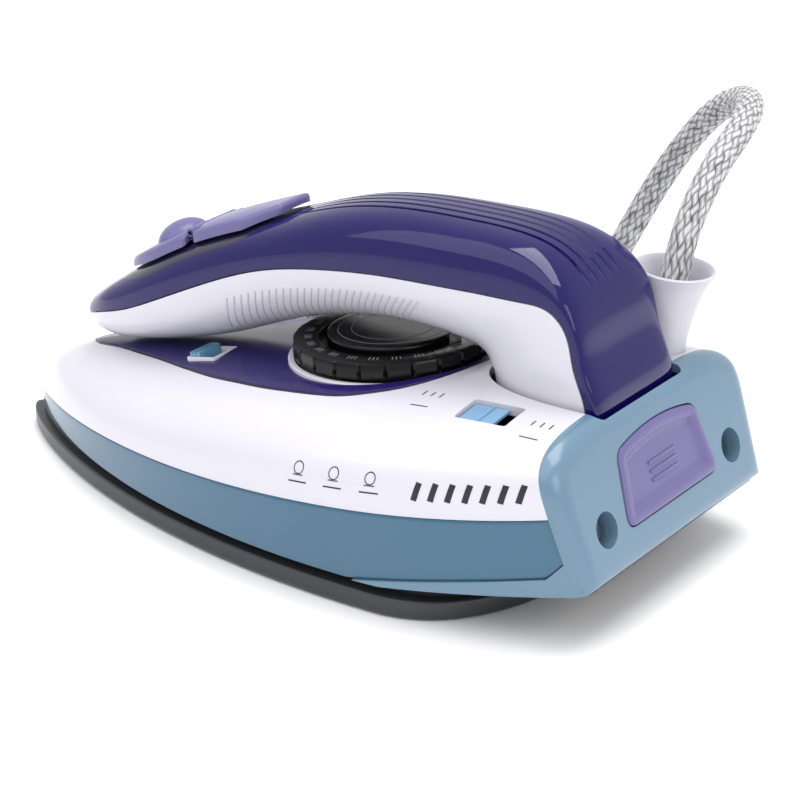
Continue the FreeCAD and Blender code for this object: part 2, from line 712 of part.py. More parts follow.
def steam_slider():
    cx, cy = window_centre(STEAM_WINDOW)
    x_low = -(STEAM_WINDOW[1] - STEAM_WINDOW[0]) / 2 + 0.65
    knob = box(x_low, x_low + 2.9, -3.75, 3.75, -3.4, 1.5)
    ridges = [box(x_low + 0.55 + 1.0 * i, x_low + 0.95 + 1.0 * i, -4, 4, 1.0, 2.0) for i in range(2)]
    plate = box(-7.3, 3.4, -4.2, 5.6, -4.6, -3.2)
    return placed(cut(union([knob, plate]), *ridges), deck_frame(cx, cy))


def steam_valve_rod():
    cx, cy = window_centre(STEAM_WINDOW)
    top = deck_frame(cx, cy, 4.5).Base
    return cyl(1.2, V(top.x, top.y, 24.6), V(top.x, top.y, top.z - 0.1))


def drip_valve_body():
    body = cyl(4.6, V(DRIP.x, DRIP.y, COVER_TOP), V(DRIP.x, DRIP.y, 23.2))
    neck = cyl(1.9, V(DRIP.x, DRIP.y, ISLAND_TOP + 0.7), V(DRIP.x, DRIP.y, COVER_TOP + 1))
    return union([body, neck])


def voltage_slider():
    cx, cy = window_centre(VOLT_WINDOW)
    x_low = -(VOLT_WINDOW[1] - VOLT_WINDOW[0]) / 2 + 0.15
    plate = box(x_low, x_low + 9.2, -4.1, 4.1, -2.0, -0.9)
    slot = box(x_low + 3.4, x_low + 4.6, -4.2, 0.9, -1.5, 0)
    notch = box(x_low + 7.6, x_low + 8.3, -1.0, 4.2, -1.5, 0)
    stem = box(x_low + 5.0, x_low + 7.0, -1.0, 1.0, -3.4, -1.9)
    return placed(union([cut(plate, slot, notch), stem]), deck_frame(cx, cy))


def voltage_switch():
    cx, cy = window_centre(VOLT_WINDOW)
    body = box(-7, 7, -3.6, 3.6, -11, -3.8)
    legs = [box(x - 0.4, x + 0.4, -1.2, 1.2, -13.6, -10.8) for x in (-4.5, 0, 4.5)]
    return placed(union([body] + legs), deck_frame(cx, cy))


# ---- push button and latch -------------------------------------------------------------
def push_button():
    body = push_outline(0, -3.2, 0.6)
    dish = push_outline(-2.6, -0.5, 3)
    guide = Part.makeCylinder(1.6, 4.6, V(0, heel_v(25.0), -7.6))
    bar_hook = Part.makeBox(8, 3, 6.0, V(-4, heel_v(31.5), -9.0))
    return on_heel(union([body.cut(dish), guide, bar_hook]))


def latch_bar():
    v = heel_v(31.5)
    bar = Part.makeBox(5.0, 3.0, 6.5, V(-2.5, v, -15.5))
    return on_heel(bar)


SPRING_Y0 = -10.8
SPRING_Y1 = -3.25


def button_spring():
    """Coil of flat-sided wire, built face by face around a helix."""
    wire_r, coil_r, turns, per_turn, sides = 0.38, 3.0, 4, 12, 6
    length = SPRING_Y1 - SPRING_Y0 - 2 * wire_r
    rings = []
    for i in range(turns * per_turn + 1):
        a = 2 * math.pi * i / per_turn
        middle = length * i / (turns * per_turn) + wire_r
        ring = []
        for k in range(sides):
            b = 2 * math.pi * k / sides
            r = coil_r + wire_r * math.cos(b)
            ring.append(V(r * math.cos(a), r * math.sin(a), middle + wire_r * math.sin(b)))
        rings.append(ring)
    faces = [face_of(rings[0]), face_of(rings[-1])]
    for low, high in zip(rings, rings[1:]):
        for k in range(sides):
            n = (k + 1) % sides
            faces.append(face_of([low[k], low[n], high[n]]))
            faces.append(face_of([low[k], high[n], high[k]]))
    shell = Part.makeShell(faces)
    shell.sewShape()
    coil = Part.makeSolid(shell)
    if coil.Volume < 0:
        coil.reverse()
    coil.translate(V(0, heel_v(25.0), SPRING_Y0))
    return on_heel(coil)


def spring_seat():
    seat = Part.makeBox(12, 9.0, 1.6, V(-6, heel_v(25.0) - 4.5, SPRING_Y0 - 1.6))
    leg = box(76, 78.4, -6, 6, FRAME_Z, FRAME_Z + FRAME_THICK)
    return union([on_heel(seat), leg])


# ---- handle ---------------------------------------------------------------------------
YOKE_SCREW = (66.0, 52.0)


def handle_lower_shell():
    shell = handle_shell(True, 0.0)
    sx, sz = YOKE_SCREW
    bosses = side_pair(YOKE_OUT + 0.05, 15.4, lambda y0, y1: across(3.0, sx, sz, y0, y1))
    shell = union([shell] + bosses)
    for y0, y1 in ((12, 16.0), (-16.0, -12)):
        shell = shell.cut(across(1.25, sx, sz, y0, y1))
    return shell


def cover_solid(inset=0.0, first=0, lift=-0.1, extra=None):
    return handle_solid(False, inset, first, None, lift, extra)


LID_FRONT, LID_SEAM, LID_STEP, LID_END = -56.0, -33.4, -16.5, -8.5
LID_HALF, LID_REAR_HALF = 10.4, 7.6
LID_LOW, LID_HIGH = 1.0, 3.1
FILLER_X = -45.0


def lid_outline(grow, x_end=LID_END):
    """Plan of the whole lid as an upright prism."""
    half = LID_HALF + grow
    nose = [V(LID_FRONT - grow + 16 - 16 * math.sin(a), half * math.cos(a), 30)
            for a in [math.pi * i / 12 for i in range(13)]]
    front = Part.BSplineCurve()
    front.interpolate(nose)
    rear_half = LID_REAR_HALF + grow
    step, end = LID_STEP, x_end + grow
    tail = Part.makePolygon([nose[-1], V(step, -half, 30), V(step + 5, -rear_half, 30), V(end, -rear_half + 2, 30),
                             V(end, rear_half - 2, 30), V(step + 5, rear_half, 30), V(step, half, 30), nose[0]])
    return Part.Face(Part.Wire([front.toShape()] + tail.Edges)).extrude(V(0, 0, 60))


def top_height(x):
    """Height of the handle cover's centre line at x."""
    rows = [(r[4], r[5]) for r in HANDLE_SECTIONS]
    for (xa, za), (xb, zb) in zip(rows, rows[1:]):
        if xa <= x <= xb:
            return za + (zb - za) * (x - xa) / (xb - xa)
    return rows[-1][1]


LID_AXIS = V(LID_SEAM, 0, top_height(LID_SEAM) + 2.35)
LID_SLOPE = math.degrees(math.atan((top_height(-30) - top_height(-37)) / 7))
LID_PIN_R = 0.5
KNUCKLE_R = 1.15
KNUCKLE_IN, KNUCKLE_OUT = 6.6, 8.6


def seam_slab(x0, x1):
    """Slab across the lid between two distances from the hinge, along the handle's slope."""
    slab = box(x0, x1, -20, 20, -20, 20)
    return placed(slab, FreeCAD.Placement(LID_AXIS, FreeCAD.Rotation(V(0, 1, 0), -LID_SLOPE)))


def lid_skin(grow=0.0):
    over = cover_solid(-LID_HIGH, 2, -1.5).common(lid_outline(grow))
    under = cover_solid(-LID_LOW, 1, 0.5).common(lid_outline(grow + 0.6, LID_END + 0.6))
    return over.cut(under)


def handle_cover():
    """Clear cover of the tank, with a raised seat under the lid and its trim."""
    seat = cut(cover_solid(-LID_LOW + 0.35, 2, -1.5).common(lid_outline(-1.6)), cover_solid(1.0, 1, 0.5))
    shell = handle_shell(False, -SEAM_HANDLE).fuse(seat)
    rear, front = top_height(FILLER_X) - 12, top_height(FILLER_X) + 10
    return shell.cut(cyl(5.4, V(FILLER_X + 11 * 0.53, 0, rear), V(FILLER_X - 11 * 0.53, 0, front)))


def filler_lid():
    flap = lid_skin().common(seam_slab(-60, 0))
    bump_z = top_height(-42) + 1.2
    bump = Part.makeSphere(1.0)
    stretch = FreeCAD.Matrix()
    stretch.scale(6.0, 7.4, 4.6)
    bump = bump.transformGeometry(stretch)
    bump.rotate(V(0, 0, 0), V(0, 1, 0), -28)
    bump.translate(V(-42, 0, bump_z))
    bump = bump.cut(cover_solid(-LID_LOW, lift=0.5))
    knuckle = across(KNUCKLE_R, LID_AXIS.x, LID_AXIS.z, -KNUCKLE_IN, KNUCKLE_IN)
    lid = union([flap, bump, knuckle])
    for side in side_pair(KNUCKLE_IN + 0.15, 14, lambda y0, y1: across(KNUCKLE_R + 0.45, LID_AXIS.x, LID_AXIS.z, y0, y1)):
        lid = lid.cut(side)
    return lid.cut(across(LID_PIN_R + 0.05, LID_AXIS.x, LID_AXIS.z, -20, 20))


def lid_seal():
    low, high = top_height(FILLER_X) - 1.6, top_height(FILLER_X) + 0.6
    slope = math.radians(28)
    up = V(-math.sin(slope), 0, math.cos(slope))
    centre = V(FILLER_X, 0, (low + high) / 2 + 0.3)
    plug = cyl(3.9, centre - up * 1.3, centre + up * 1.6)
    return plug.cut(lid_skin())


def lid_trim_plate():
    plate = lid_skin().common(seam_slab(KNUCKLE_R + 0.4, 80))
    ears = side_pair(KNUCKLE_IN + 0.3, KNUCKLE_OUT, lambda y0, y1: union([
        across(KNUCKLE_R, LID_AXIS.x, LID_AXIS.z, y0, y1),
        placed(box(0, 3.0, y0, y1, -KNUCKLE_R, KNUCKLE_R * 0.7),
               FreeCAD.Placement(LID_AXIS, FreeCAD.Rotation(V(0, 1, 0), -LID_SLOPE)))]))
    plate = union([plate] + ears)
    return plate.cut(across(LID_PIN_R + 0.01, LID_AXIS.x, LID_AXIS.z, -20, 20))


def lid_hinge_pin():
    return across(LID_PIN_R, LID_AXIS.x, LID_AXIS.z, -KNUCKLE_OUT, KNUCKLE_OUT)


def tank_tray():
    def section(row):
        bx, bz, px, pz, tx, tz, half, n_up, n_low = row
        part, reach = V(px, 0, pz), (V(tx, 0, tz) - V(px, 0, pz)).normalize()
        half -= 2.2
        low, high = part + reach * 0.3, part + reach * 1.7
        return Part.makePolygon([low + V(0, -half, 0), low + V(0, half, 0), high + V(0, half, 0),
                                 high + V(0, -half, 0), low + V(0, -half, 0)])
    tray = Part.makeLoft([section(row) for row in HANDLE_SECTIONS[3:12]], True, False)
    wall = cover_solid(HANDLE_WALL + 0.8, 7, -0.3).common(box(48.6, 50.4, -20, 20, 60, 80))
    return union([tray, wall]).cut(cyl(2.05, V(45, 0, 60), V(45, 0, 70)))


def tank_outlet():
    tube, _, _ = pipe([V(45, 0, 68.2), V(45, 0, 58), V(58, 0, 49), V(66, 0, 46.5)], 2.0)
    return tube


def hinge_yoke():
    def plate(y0, y1):
        return union([
            across(YOKE_R, PIVOT.x, PIVOT.z, y0, y1),
            prism_xz([(PIVOT.x - YOKE_R, PIVOT.z), (PIVOT.x + 3.6, PIVOT.z), (72.0, 56.0), (62.0, 56.0)], 1)
            .translate(V(0, y0 + 1, 0)).common(box(0, 100, y0, y1, 0, 100)),
        ])
    bridge = box(63.0, 71.0, -YOKE_OUT, YOKE_OUT, 54.5, 56.0)
    yoke = union(side_pair(YOKE_IN, YOKE_OUT, plate) + [bridge])
    sx, sz = YOKE_SCREW
    return cut(yoke, across(BUSH_R + 0.01, PIVOT.x, PIVOT.z, -20, 20), across(1.3, sx, sz, -20, 20))


def pivot_bushes():
    bushes = side_pair(YOKE_IN, YOKE_OUT, lambda y0, y1: across(BUSH_R, PIVOT.x, PIVOT.z, y0, y1).fuse(
        across(BUSH_R + 0.7, PIVOT.x, PIVOT.z, y0 - 0.6, y0)).removeSplitter())
    return Part.Compound([b.cut(across(PIN_R + 0.05, PIVOT.x, PIVOT.z, -20, 20)) for b in bushes])


def pivot_pin():
    return across(PIN_R, PIVOT.x, PIVOT.z, -YOKE_OUT - 0.6, YOKE_OUT + 0.6)


def yoke_screws():
    sx, sz = YOKE_SCREW
    return Part.Compound(side_pair(YOKE_IN - 1.5, 15.9, lambda y0, y1: union([
        across(1.2, sx, sz, y0, y1), across(2.4, sx, sz, y0, YOKE_IN)])))


# ---- water and wiring inside the base -----------------------------------------------------
def water_hose():
    route = [V(DRIP.x + 5.0, DRIP.y, 17.6), V(-6, -13, 17.5), V(18, -17, 17.4), V(44, -14, 17.3),
             V(61.5, -3, 17.8), V(66, 0, 27), V(67, 0, 36)]
    hose, _, _ = pipe(route, 2.3)
    return hose


def terminal_block():
    block = box(48, 64, 15, 29, FRAME_Z + FRAME_THICK, 31)
    for x in (51.2, 56.0, 60.8):
        block = block.cut(cyl(1.5, V(x, 22, 26), V(x, 22, 40)))
    return block


# ---- cord, gland and plug -------------------------------------------------------------------
def cord_gland():
    outline = [(6.4, -2.2), (6.4, -0.9), (4.6, -0.9)]
    flare = [(4.6, -0.9), (4.7, 4.0), (5.2, 11.0), (6.5, 17.5), (8.3, 22.5), (9.3, GLAND_LENGTH)]
    inside = [(8.3, GLAND_LENGTH), (6.9, 21.0), (4.6, 15.0), (3.35, 9.0)]
    outer = spline_edge([V(r, 0, z) for r, z in flare])
    inner = spline_edge([V(r, 0, z) for r, z in inside])
    foot = Part.makePolygon([V(r, 0, z) for r, z in [(3.35, -2.2)] + outline])
    lip = Part.makeLine(V(flare[-1][0], 0, flare[-1][1]), V(inside[0][0], 0, inside[0][1]))
    throat = Part.makeLine(V(inside[-1][0], 0, inside[-1][1]), V(3.35, 0, -2.2))
    edges = foot.Edges + [outer, lip, inner, throat]
    solid = Part.Face(Part.Wire(edges)).revolve(V(0, 0, 0), V(0, 0, 1), 360)
    solid = Part.Solid(Part.Shell(solid.Faces)) if not solid.Solids else solid.Solids[0]
    return placed(solid, FreeCAD.Placement(GLAND_FOOT, FreeCAD.Rotation(V(0, 0, 1), GLAND_AXIS)))


def inner_lead():
    start = CORD_ROUTE[0]
    route = [V(65.2, 22.3, 28.0), V(70, 23.2, 29.5), start - GLAND_AXIS * 9, start - GLAND_AXIS * 0.3]
    lead, _, _ = pipe(route, 2.6)
    return lead


def cord_clamp():
    post = box(66.5, 73.5, 20.5, 29, FRAME_Z + FRAME_THICK, 27.0)
    return post.cut(cyl(3.2, V(60, 21.2, 28.3), V(80, 24.6, 30.0)))


def cord_tube():
    tube, path, radii = pipe(CORD_ROUTE, CORD_D / 2)
    print("cord arc radii", [round(r, 1) for r in radii])
    print("cord tube volume over section times length",
          round(tube.Volume / (math.pi * (CORD_D / 2) ** 2 * path.Length), 4), "length", round(path.Length, 1))
    return tube


def cord_coil():
    outer = cyl(COIL_MID_R + COIL_HALF, COIL_CENTRE, COIL_CENTRE + V(0, 0, COIL_HEIGHT))
    return outer.cut(cyl(COIL_MID_R - COIL_HALF, COIL_CENTRE - V(0, 0, 1), COIL_CENTRE + V(0, 0, 30)))


def coil_tie():
    spot = COIL_CENTRE + V(COIL_MID_R, 0, 0)
    strap = box(spot.x - 11.4, spot.x + 11.4, spot.y - 4, spot.y + 4, 0.0, COIL_HEIGHT + 1.0)
    return strap.cut(box(spot.x - 10.4, spot.x + 10.4, spot.y - 5, spot.y + 5, -1, COIL_HEIGHT + 0.05))


def plug_body():
    tail, y, z = PLUG_TAIL.x, PLUG_TAIL.y, PLUG_TAIL.z
    relief = Part.makeCone(4.2, 6.0, 17, PLUG_TAIL, V(-1, 0, 0))
    body = box(tail - 48, tail - 16, y - 8.5, y + 8.5, z - 7.0, z + 7.0)
    body = body.makeFillet(3.0, [e for e in body.Edges if e.BoundBox.XLength > 30])
    face = box(tail - 51, tail - 47.5, y - 9.5, y + 9.5, z - 8.0, z + 8.0)
    face = face.makeFillet(3.0, [e for e in face.Edges if e.BoundBox.XLength > 3])
    body = union([relief, body, face])
    return body


def plug_pins():
    tail, y, z = PLUG_TAIL.x, PLUG_TAIL.y, PLUG_TAIL.z
    return Part.Compound([cyl(2.0, V(tail - 51, y + dy, z), V(tail - 70, y + dy, z)) for dy in (-5.5, 5.5)])


# ---- write every node ----------------------------------------------------------------
def heel_cover_with_bosses():
    return union([heel_cover()] + heel_bosses())


def inner_frame_with_seat():
    return union([inner_frame(), spring_seat()])


def push_button_with_latch():
    return union([push_button(), latch_bar()])


def steam_slider_with_rod():
    return union([steam_slider(), steam_valve_rod()])


NODES = {
    # hot end
    "soleplate": soleplate,
    "heating_element": heating_element,
    "chamber_gasket": chamber_gasket,
    "steam_chamber_cover": chamber_cover,
    "drip_valve_body": drip_valve_body,
    "thermostat": thermostat,
    "thermal_fuse": thermal_fuse,
    "fuse_clip": fuse_clip,
    "heat_shield": heat_shield,
    # body shells and what they carry
    "lower_skirt": lower_skirt,
    "upper_casing": upper_casing,
    "heel_cover": heel_cover_with_bosses,
    "heel_screws": heel_screws,
    "console_panel": console_panel,
    "dial_collar": dial_collar,
    "slider_bezel": slider_bezel,
    "inner_frame": inner_frame_with_seat,
    "frame_screws": frame_screws,
    "pivot_pin": pivot_pin,
    "button_spring": button_spring,
    "voltage_switch": voltage_switch,
    "terminal_block": terminal_block,
    "inner_lead": inner_lead,
    "cord_clamp": cord_clamp,
    "water_hose": water_hose,
    # controls
    "temperature_dial": temperature_dial,
    "dial_cap": dial_cap,
    "dial_peg": dial_peg,
    "thermostat_spindle": thermostat_spindle,
    "steam_slider": steam_slider_with_rod,
    "voltage_slider": voltage_slider,
    "push_button": push_button_with_latch,
    # folding handle
    "handle_lower_shell": handle_lower_shell,
    "handle_cover": handle_cover,
    "tank_tray": tank_tray,
    "tank_outlet": tank_outlet,
    "hinge_yoke": hinge_yoke,
    "pivot_bushes": pivot_bushes,
    "yoke_screws": yoke_screws,
    "lid_trim_plate": lid_trim_plate,
    "lid_hinge_pin": lid_hinge_pin,
    "filler_lid": filler_lid,
    "lid_seal": lid_seal,
    # cord
    "cord_gland": cord_gland,
    "cord_tube": cord_tube,
    "cord_coil": cord_coil,
    "coil_tie": coil_tie,
    "plug_body": plug_body,
    "plug_pins": plug_pins,
}

for node, make in NODES.items():
    save(node, make())
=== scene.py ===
"""Looks of a folding travel steam iron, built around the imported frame. Lengths are millimetres."""
import math

import bmesh
import bpy
import numpy as np
from mathutils import Matrix, Vector


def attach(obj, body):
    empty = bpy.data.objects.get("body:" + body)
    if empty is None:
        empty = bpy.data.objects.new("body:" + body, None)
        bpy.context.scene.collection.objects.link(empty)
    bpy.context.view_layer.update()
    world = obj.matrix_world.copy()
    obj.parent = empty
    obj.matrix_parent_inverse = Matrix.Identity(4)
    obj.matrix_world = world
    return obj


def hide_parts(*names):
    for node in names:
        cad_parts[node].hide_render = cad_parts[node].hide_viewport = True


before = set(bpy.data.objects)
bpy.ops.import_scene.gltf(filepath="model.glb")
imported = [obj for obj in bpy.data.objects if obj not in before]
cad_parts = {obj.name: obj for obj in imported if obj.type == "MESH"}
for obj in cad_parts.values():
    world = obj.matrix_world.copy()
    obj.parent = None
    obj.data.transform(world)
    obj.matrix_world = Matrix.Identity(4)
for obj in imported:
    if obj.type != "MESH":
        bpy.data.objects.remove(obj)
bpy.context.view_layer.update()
scene = bpy.context.scene
MM = 0.001


# ---- camera ----
CAMERA_AT = Vector((346.85, -465.45, 258.28)) * MM
CAMERA_TARGET = Vector((16.35, 3.86, 26.77)) * MM
CAMERA_ROLL = math.radians(-1.095)
CAMERA_LENS = 121.3


def make_camera():
    data = bpy.data.cameras.new("camera")
    data.lens = CAMERA_LENS
    data.sensor_width = 36.0
    data.clip_start = 0.01
    camera = bpy.data.objects.new("camera", data)
    scene.collection.objects.link(camera)
    back = (CAMERA_AT - CAMERA_TARGET).normalized()
    right = Vector((0, 0, 1)).cross(back).normalized()
    up = back.cross(right)
    c, s = math.cos(CAMERA_ROLL), math.sin(CAMERA_ROLL)
    rolled_right = right * c + up * s
    rolled_up = up * c - right * s
    turn = Matrix((rolled_right, rolled_up, back)).transposed()
    camera.matrix_world = Matrix.Translation(CAMERA_AT) @ turn.to_4x4()
    scene.camera = camera


make_camera()


# ---- mesh helpers ----
def finish_mesh(obj, angle=32):
    """Outward normals, smooth faces and sharp edges above an angle in degrees."""
    mesh = obj.data
    bm = bmesh.new()
    bm.from_mesh(mesh)
    bmesh.ops.recalc_face_normals(bm, faces=bm.faces)
    bm.to_mesh(mesh)
    bm.free()
    mesh.polygons.foreach_set("use_smooth", [True] * len(mesh.polygons))
    mesh.set_sharp_from_angle(angle=math.radians(angle))
    return obj


def link_object(name, data):
    obj = bpy.data.objects.new(name, data)
    scene.collection.objects.link(obj)
    return obj


def new_object(name, verts, faces, angle=32):
    """Object from points in millimetres."""
    mesh = bpy.data.meshes.new(name)
    mesh.from_pydata([tuple(c * MM for c in v) for v in verts], [], faces)
    mesh.validate()
    return finish_mesh(link_object(name, mesh), angle)


def from_bmesh(name, bm, angle=32):
    """Object from a bmesh, which is freed."""
    mesh = bpy.data.meshes.new(name)
    bm.to_mesh(mesh)
    bm.free()
    return finish_mesh(link_object(name, mesh), angle)


def grid_faces(rows, cols, start=0, around=False):
    """Quads between rows of points, where around closes each row on itself."""
    faces = []
    for r in range(rows - 1):
        for c in range(cols if around else cols - 1):
            a, b = start + r * cols + c, start + r * cols + (c + 1) % cols
            faces.append((a, b, b + cols, a + cols))
    return faces


def shell_object(name, outer, inner):
    """Closed sheet with thickness between two grids of points of the same size."""
    rows, cols = len(outer), len(outer[0])
    verts = [p for row in outer for p in row] + [p for row in inner for p in row]
    count = rows * cols
    faces = grid_faces(rows, cols) + [f[::-1] for f in grid_faces(rows, cols, count)]
    edge = [c for c in range(cols)] + [r * cols + cols - 1 for r in range(1, rows)]
    edge += [(rows - 1) * cols + c for c in range(cols - 2, -1, -1)]
    edge += [r * cols for r in range(rows - 2, 0, -1)]
    for a, b in zip(edge, edge[1:] + edge[:1]):
        faces.append((a, a + count, b + count, b))
    return new_object(name, verts, faces)


def ring_object(name, rings, angle=32, closed=False):
    """Solid from rings of points: closed joins the last ring to the first, else a fan fills each end."""
    cols = len(rings[0])
    verts = [p for ring in rings for p in ring]
    faces = grid_faces(len(rings) + closed, cols, 0, True)
    if closed:
        faces = [tuple(i % len(verts) for i in f) for f in faces]
    else:
        for ring, first in ((rings[0], 0), (rings[-1], (len(rings) - 1) * cols)):
            verts.append(tuple(sum(c) / cols for c in zip(*ring)))
            tip = len(verts) - 1
            faces += [(first + c, first + (c + 1) % cols, tip) for c in range(cols)]
    return new_object(name, verts, faces, angle)


def quarter(steps):
    """Evenly spaced angles over a quarter turn, both ends included."""
    return [math.pi / 2 * k / steps for k in range(steps + 1)]


def frame_at(x, y, z, angle, axis):
    """Local frame at a point, turned by degrees about one axis."""
    return Matrix.Translation((x, y, z)) @ Matrix.Rotation(math.radians(angle), 4, axis)


def lathe(name, profile, matrix, segments=96, closed=False, angle=32):
    """Turned solid from (radius, height) pairs about the local Z axis."""
    rings = []
    for r, z in profile:
        turn = [2 * math.pi * i / segments for i in range(segments)]
        rings.append([tuple(matrix @ Vector((r * math.cos(a), r * math.sin(a), z))) for a in turn])
    return ring_object(name, rings, angle, closed)


def rounded_box(name, low, high, radius, matrix, segments=3):
    """Box with rounded edges in a local frame."""
    bm = bmesh.new()
    size = [h - l for l, h in zip(low, high)]
    centre = [(l + h) / 2 for l, h in zip(low, high)]
    bmesh.ops.create_cube(bm, size=1.0)
    for v in bm.verts:
        v.co = Vector([c + s * k for c, s, k in zip(centre, size, v.co)])
    bmesh.ops.bevel(bm, geom=bm.edges[:], offset=radius, segments=segments, profile=0.5, affect="EDGES")
    bmesh.ops.transform(bm, matrix=Matrix.Scale(MM, 4) @ matrix, verts=bm.verts)
    return from_bmesh(name, bm, 40)


def join(name, parts):
    """One object from several."""
    bm = bmesh.new()
    for part in parts:
        bm.from_mesh(part.data)
        bpy.data.objects.remove(part)
    return from_bmesh(name, bm)


def carve(obj, cutters):
    """Cut the cutters out of an object, and remove them."""
    for cutter in cutters:
        modifier = obj.modifiers.new("carve", "BOOLEAN")
        modifier.operation = "DIFFERENCE"
        modifier.solver = "EXACT"
        modifier.object = cutter
    bpy.context.view_layer.update()
    carved = bpy.data.meshes.new_from_object(obj.evaluated_get(bpy.context.evaluated_depsgraph_get()))
    obj.modifiers.clear()
    obj.data = carved
    for cutter in cutters:
        bpy.data.objects.remove(cutter)
    return finish_mesh(obj)


def prism(name, outline, z0, z1):
    """Upright prism over an outline in plan."""
    return ring_object(name, [[(x, y, z) for x, y in outline] for z in (z0, z1)])


def smooth_rows(table, count, keys):
    """Natural cubic through the rows of a table, resampled evenly."""
    data = np.array(table, float)
    steps = np.sqrt((np.diff(data[:, keys], axis=0) ** 2).sum(1))
    t = np.concatenate([[0], np.cumsum(steps)])
    n = len(t)
    h = np.diff(t)
    system = np.eye(n)
    right = np.zeros((n, data.shape[1]))
    for i in range(1, n - 1):
        system[i, i - 1:i + 2] = [h[i - 1], 2 * (h[i - 1] + h[i]), h[i]]
        right[i] = 6 * ((data[i + 1] - data[i]) / h[i] - (data[i] - data[i - 1]) / h[i - 1])
    bend = np.linalg.solve(system, right)
    out = []
    for s in np.linspace(0, t[-1], count):
        i = min(n - 2, int(np.searchsorted(t, s, side="right")) - 1)
        a, b = (t[i + 1] - s) / h[i], (s - t[i]) / h[i]
        curve = (a ** 3 - a) * bend[i] + (b ** 3 - b) * bend[i + 1]
        out.append(a * data[i] + b * data[i + 1] + curve * h[i] ** 2 / 6)
    return np.array(out)


# ---- materials ----
def node_graph(name):
    material = bpy.data.materials.new(name)
    material.use_nodes = True
    nodes, links = material.node_tree.nodes, material.node_tree.links
    return material, nodes, links, nodes["Principled BSDF"]


def add(nodes, kind, **values):
    node = nodes.new(kind)
    for key, value in values.items():
        if key in node.inputs:
            node.inputs[key].default_value = value
        else:
            setattr(node, key, value)
    return node


def textured(name, colour, shades, rough, polish, noises, depth, stretch=(1.0, 1.0, 1.0)):
    """Shader whose colour, polish and relief each follow a noise, given as (scale, detail)."""
    material, nodes, links, shader = node_graph(name)
    place = add(nodes, "ShaderNodeTexCoord")
    mapping = add(nodes, "ShaderNodeMapping")
    mapping.inputs["Scale"].default_value = stretch
    links.new(place.outputs["Object"], mapping.inputs["Vector"])
    blend = add(nodes, "ShaderNodeMix", data_type="RGBA")
    for socket, shade in zip("AB", shades):
        blend.inputs[socket].default_value = [min(1, c * shade) for c in colour] + [1]
    span = add(nodes, "ShaderNodeMapRange")
    span.inputs["To Min"].default_value = rough * polish[0]
    span.inputs["To Max"].default_value = min(1, rough * polish[1])
    bump = add(nodes, "ShaderNodeBump", Strength=depth, Distance=0.0002)
    sockets = (blend.inputs["Factor"], span.inputs["Value"], bump.inputs["Height"])
    for (scale, detail), socket in zip(noises, sockets):
        noise = add(nodes, "ShaderNodeTexNoise", Scale=scale, Detail=detail)
        links.new(mapping.outputs["Vector"], noise.inputs["Vector"])
        links.new(noise.outputs["Fac"], socket)
    links.new(blend.outputs["Result"], shader.inputs["Base Color"])
    links.new(span.outputs["Result"], shader.inputs["Roughness"])
    links.new(bump.outputs["Normal"], shader.inputs["Normal"])
    return material, shader


def moulded(name, colour, rough, grain=900.0, depth=0.04, vary=0.06, coat=0.0, metallic=0.0,
            transmission=0.0, specular=0.5):
    """Moulded plastic or plain metal: soft colour drift, uneven polish and a fine surface grain."""
    noises = ((28.0, 3.0), (90.0, 4.0), (grain, 2.0))
    material, shader = textured(name, colour, (1 - vary, 1 + vary), rough, (0.85, 1.2), noises, depth)
    shader.inputs["Metallic"].default_value = metallic
    shader.inputs["Coat Weight"].default_value = coat
    shader.inputs["Coat Roughness"].default_value = 0.06
    shader.inputs["Transmission Weight"].default_value = transmission
    shader.inputs["Specular IOR Level"].default_value = specular
    shader.inputs["IOR"].default_value = 1.46
    return material


def brushed(name, colour, rough, stretch):
    """Metal with fine lines, drawn out along the axis that stretch leaves at 1."""
    noises = ((60.0, 5.0),) * 3
    material, shader = textured(name, colour, (0.8, 1.15), rough, (0.8, 1.3), noises, 0.12, stretch)
    shader.inputs["Metallic"].default_value = 1.0
    return material


YARNS_ALONG, YARNS_AROUND = 560.0, 11.0


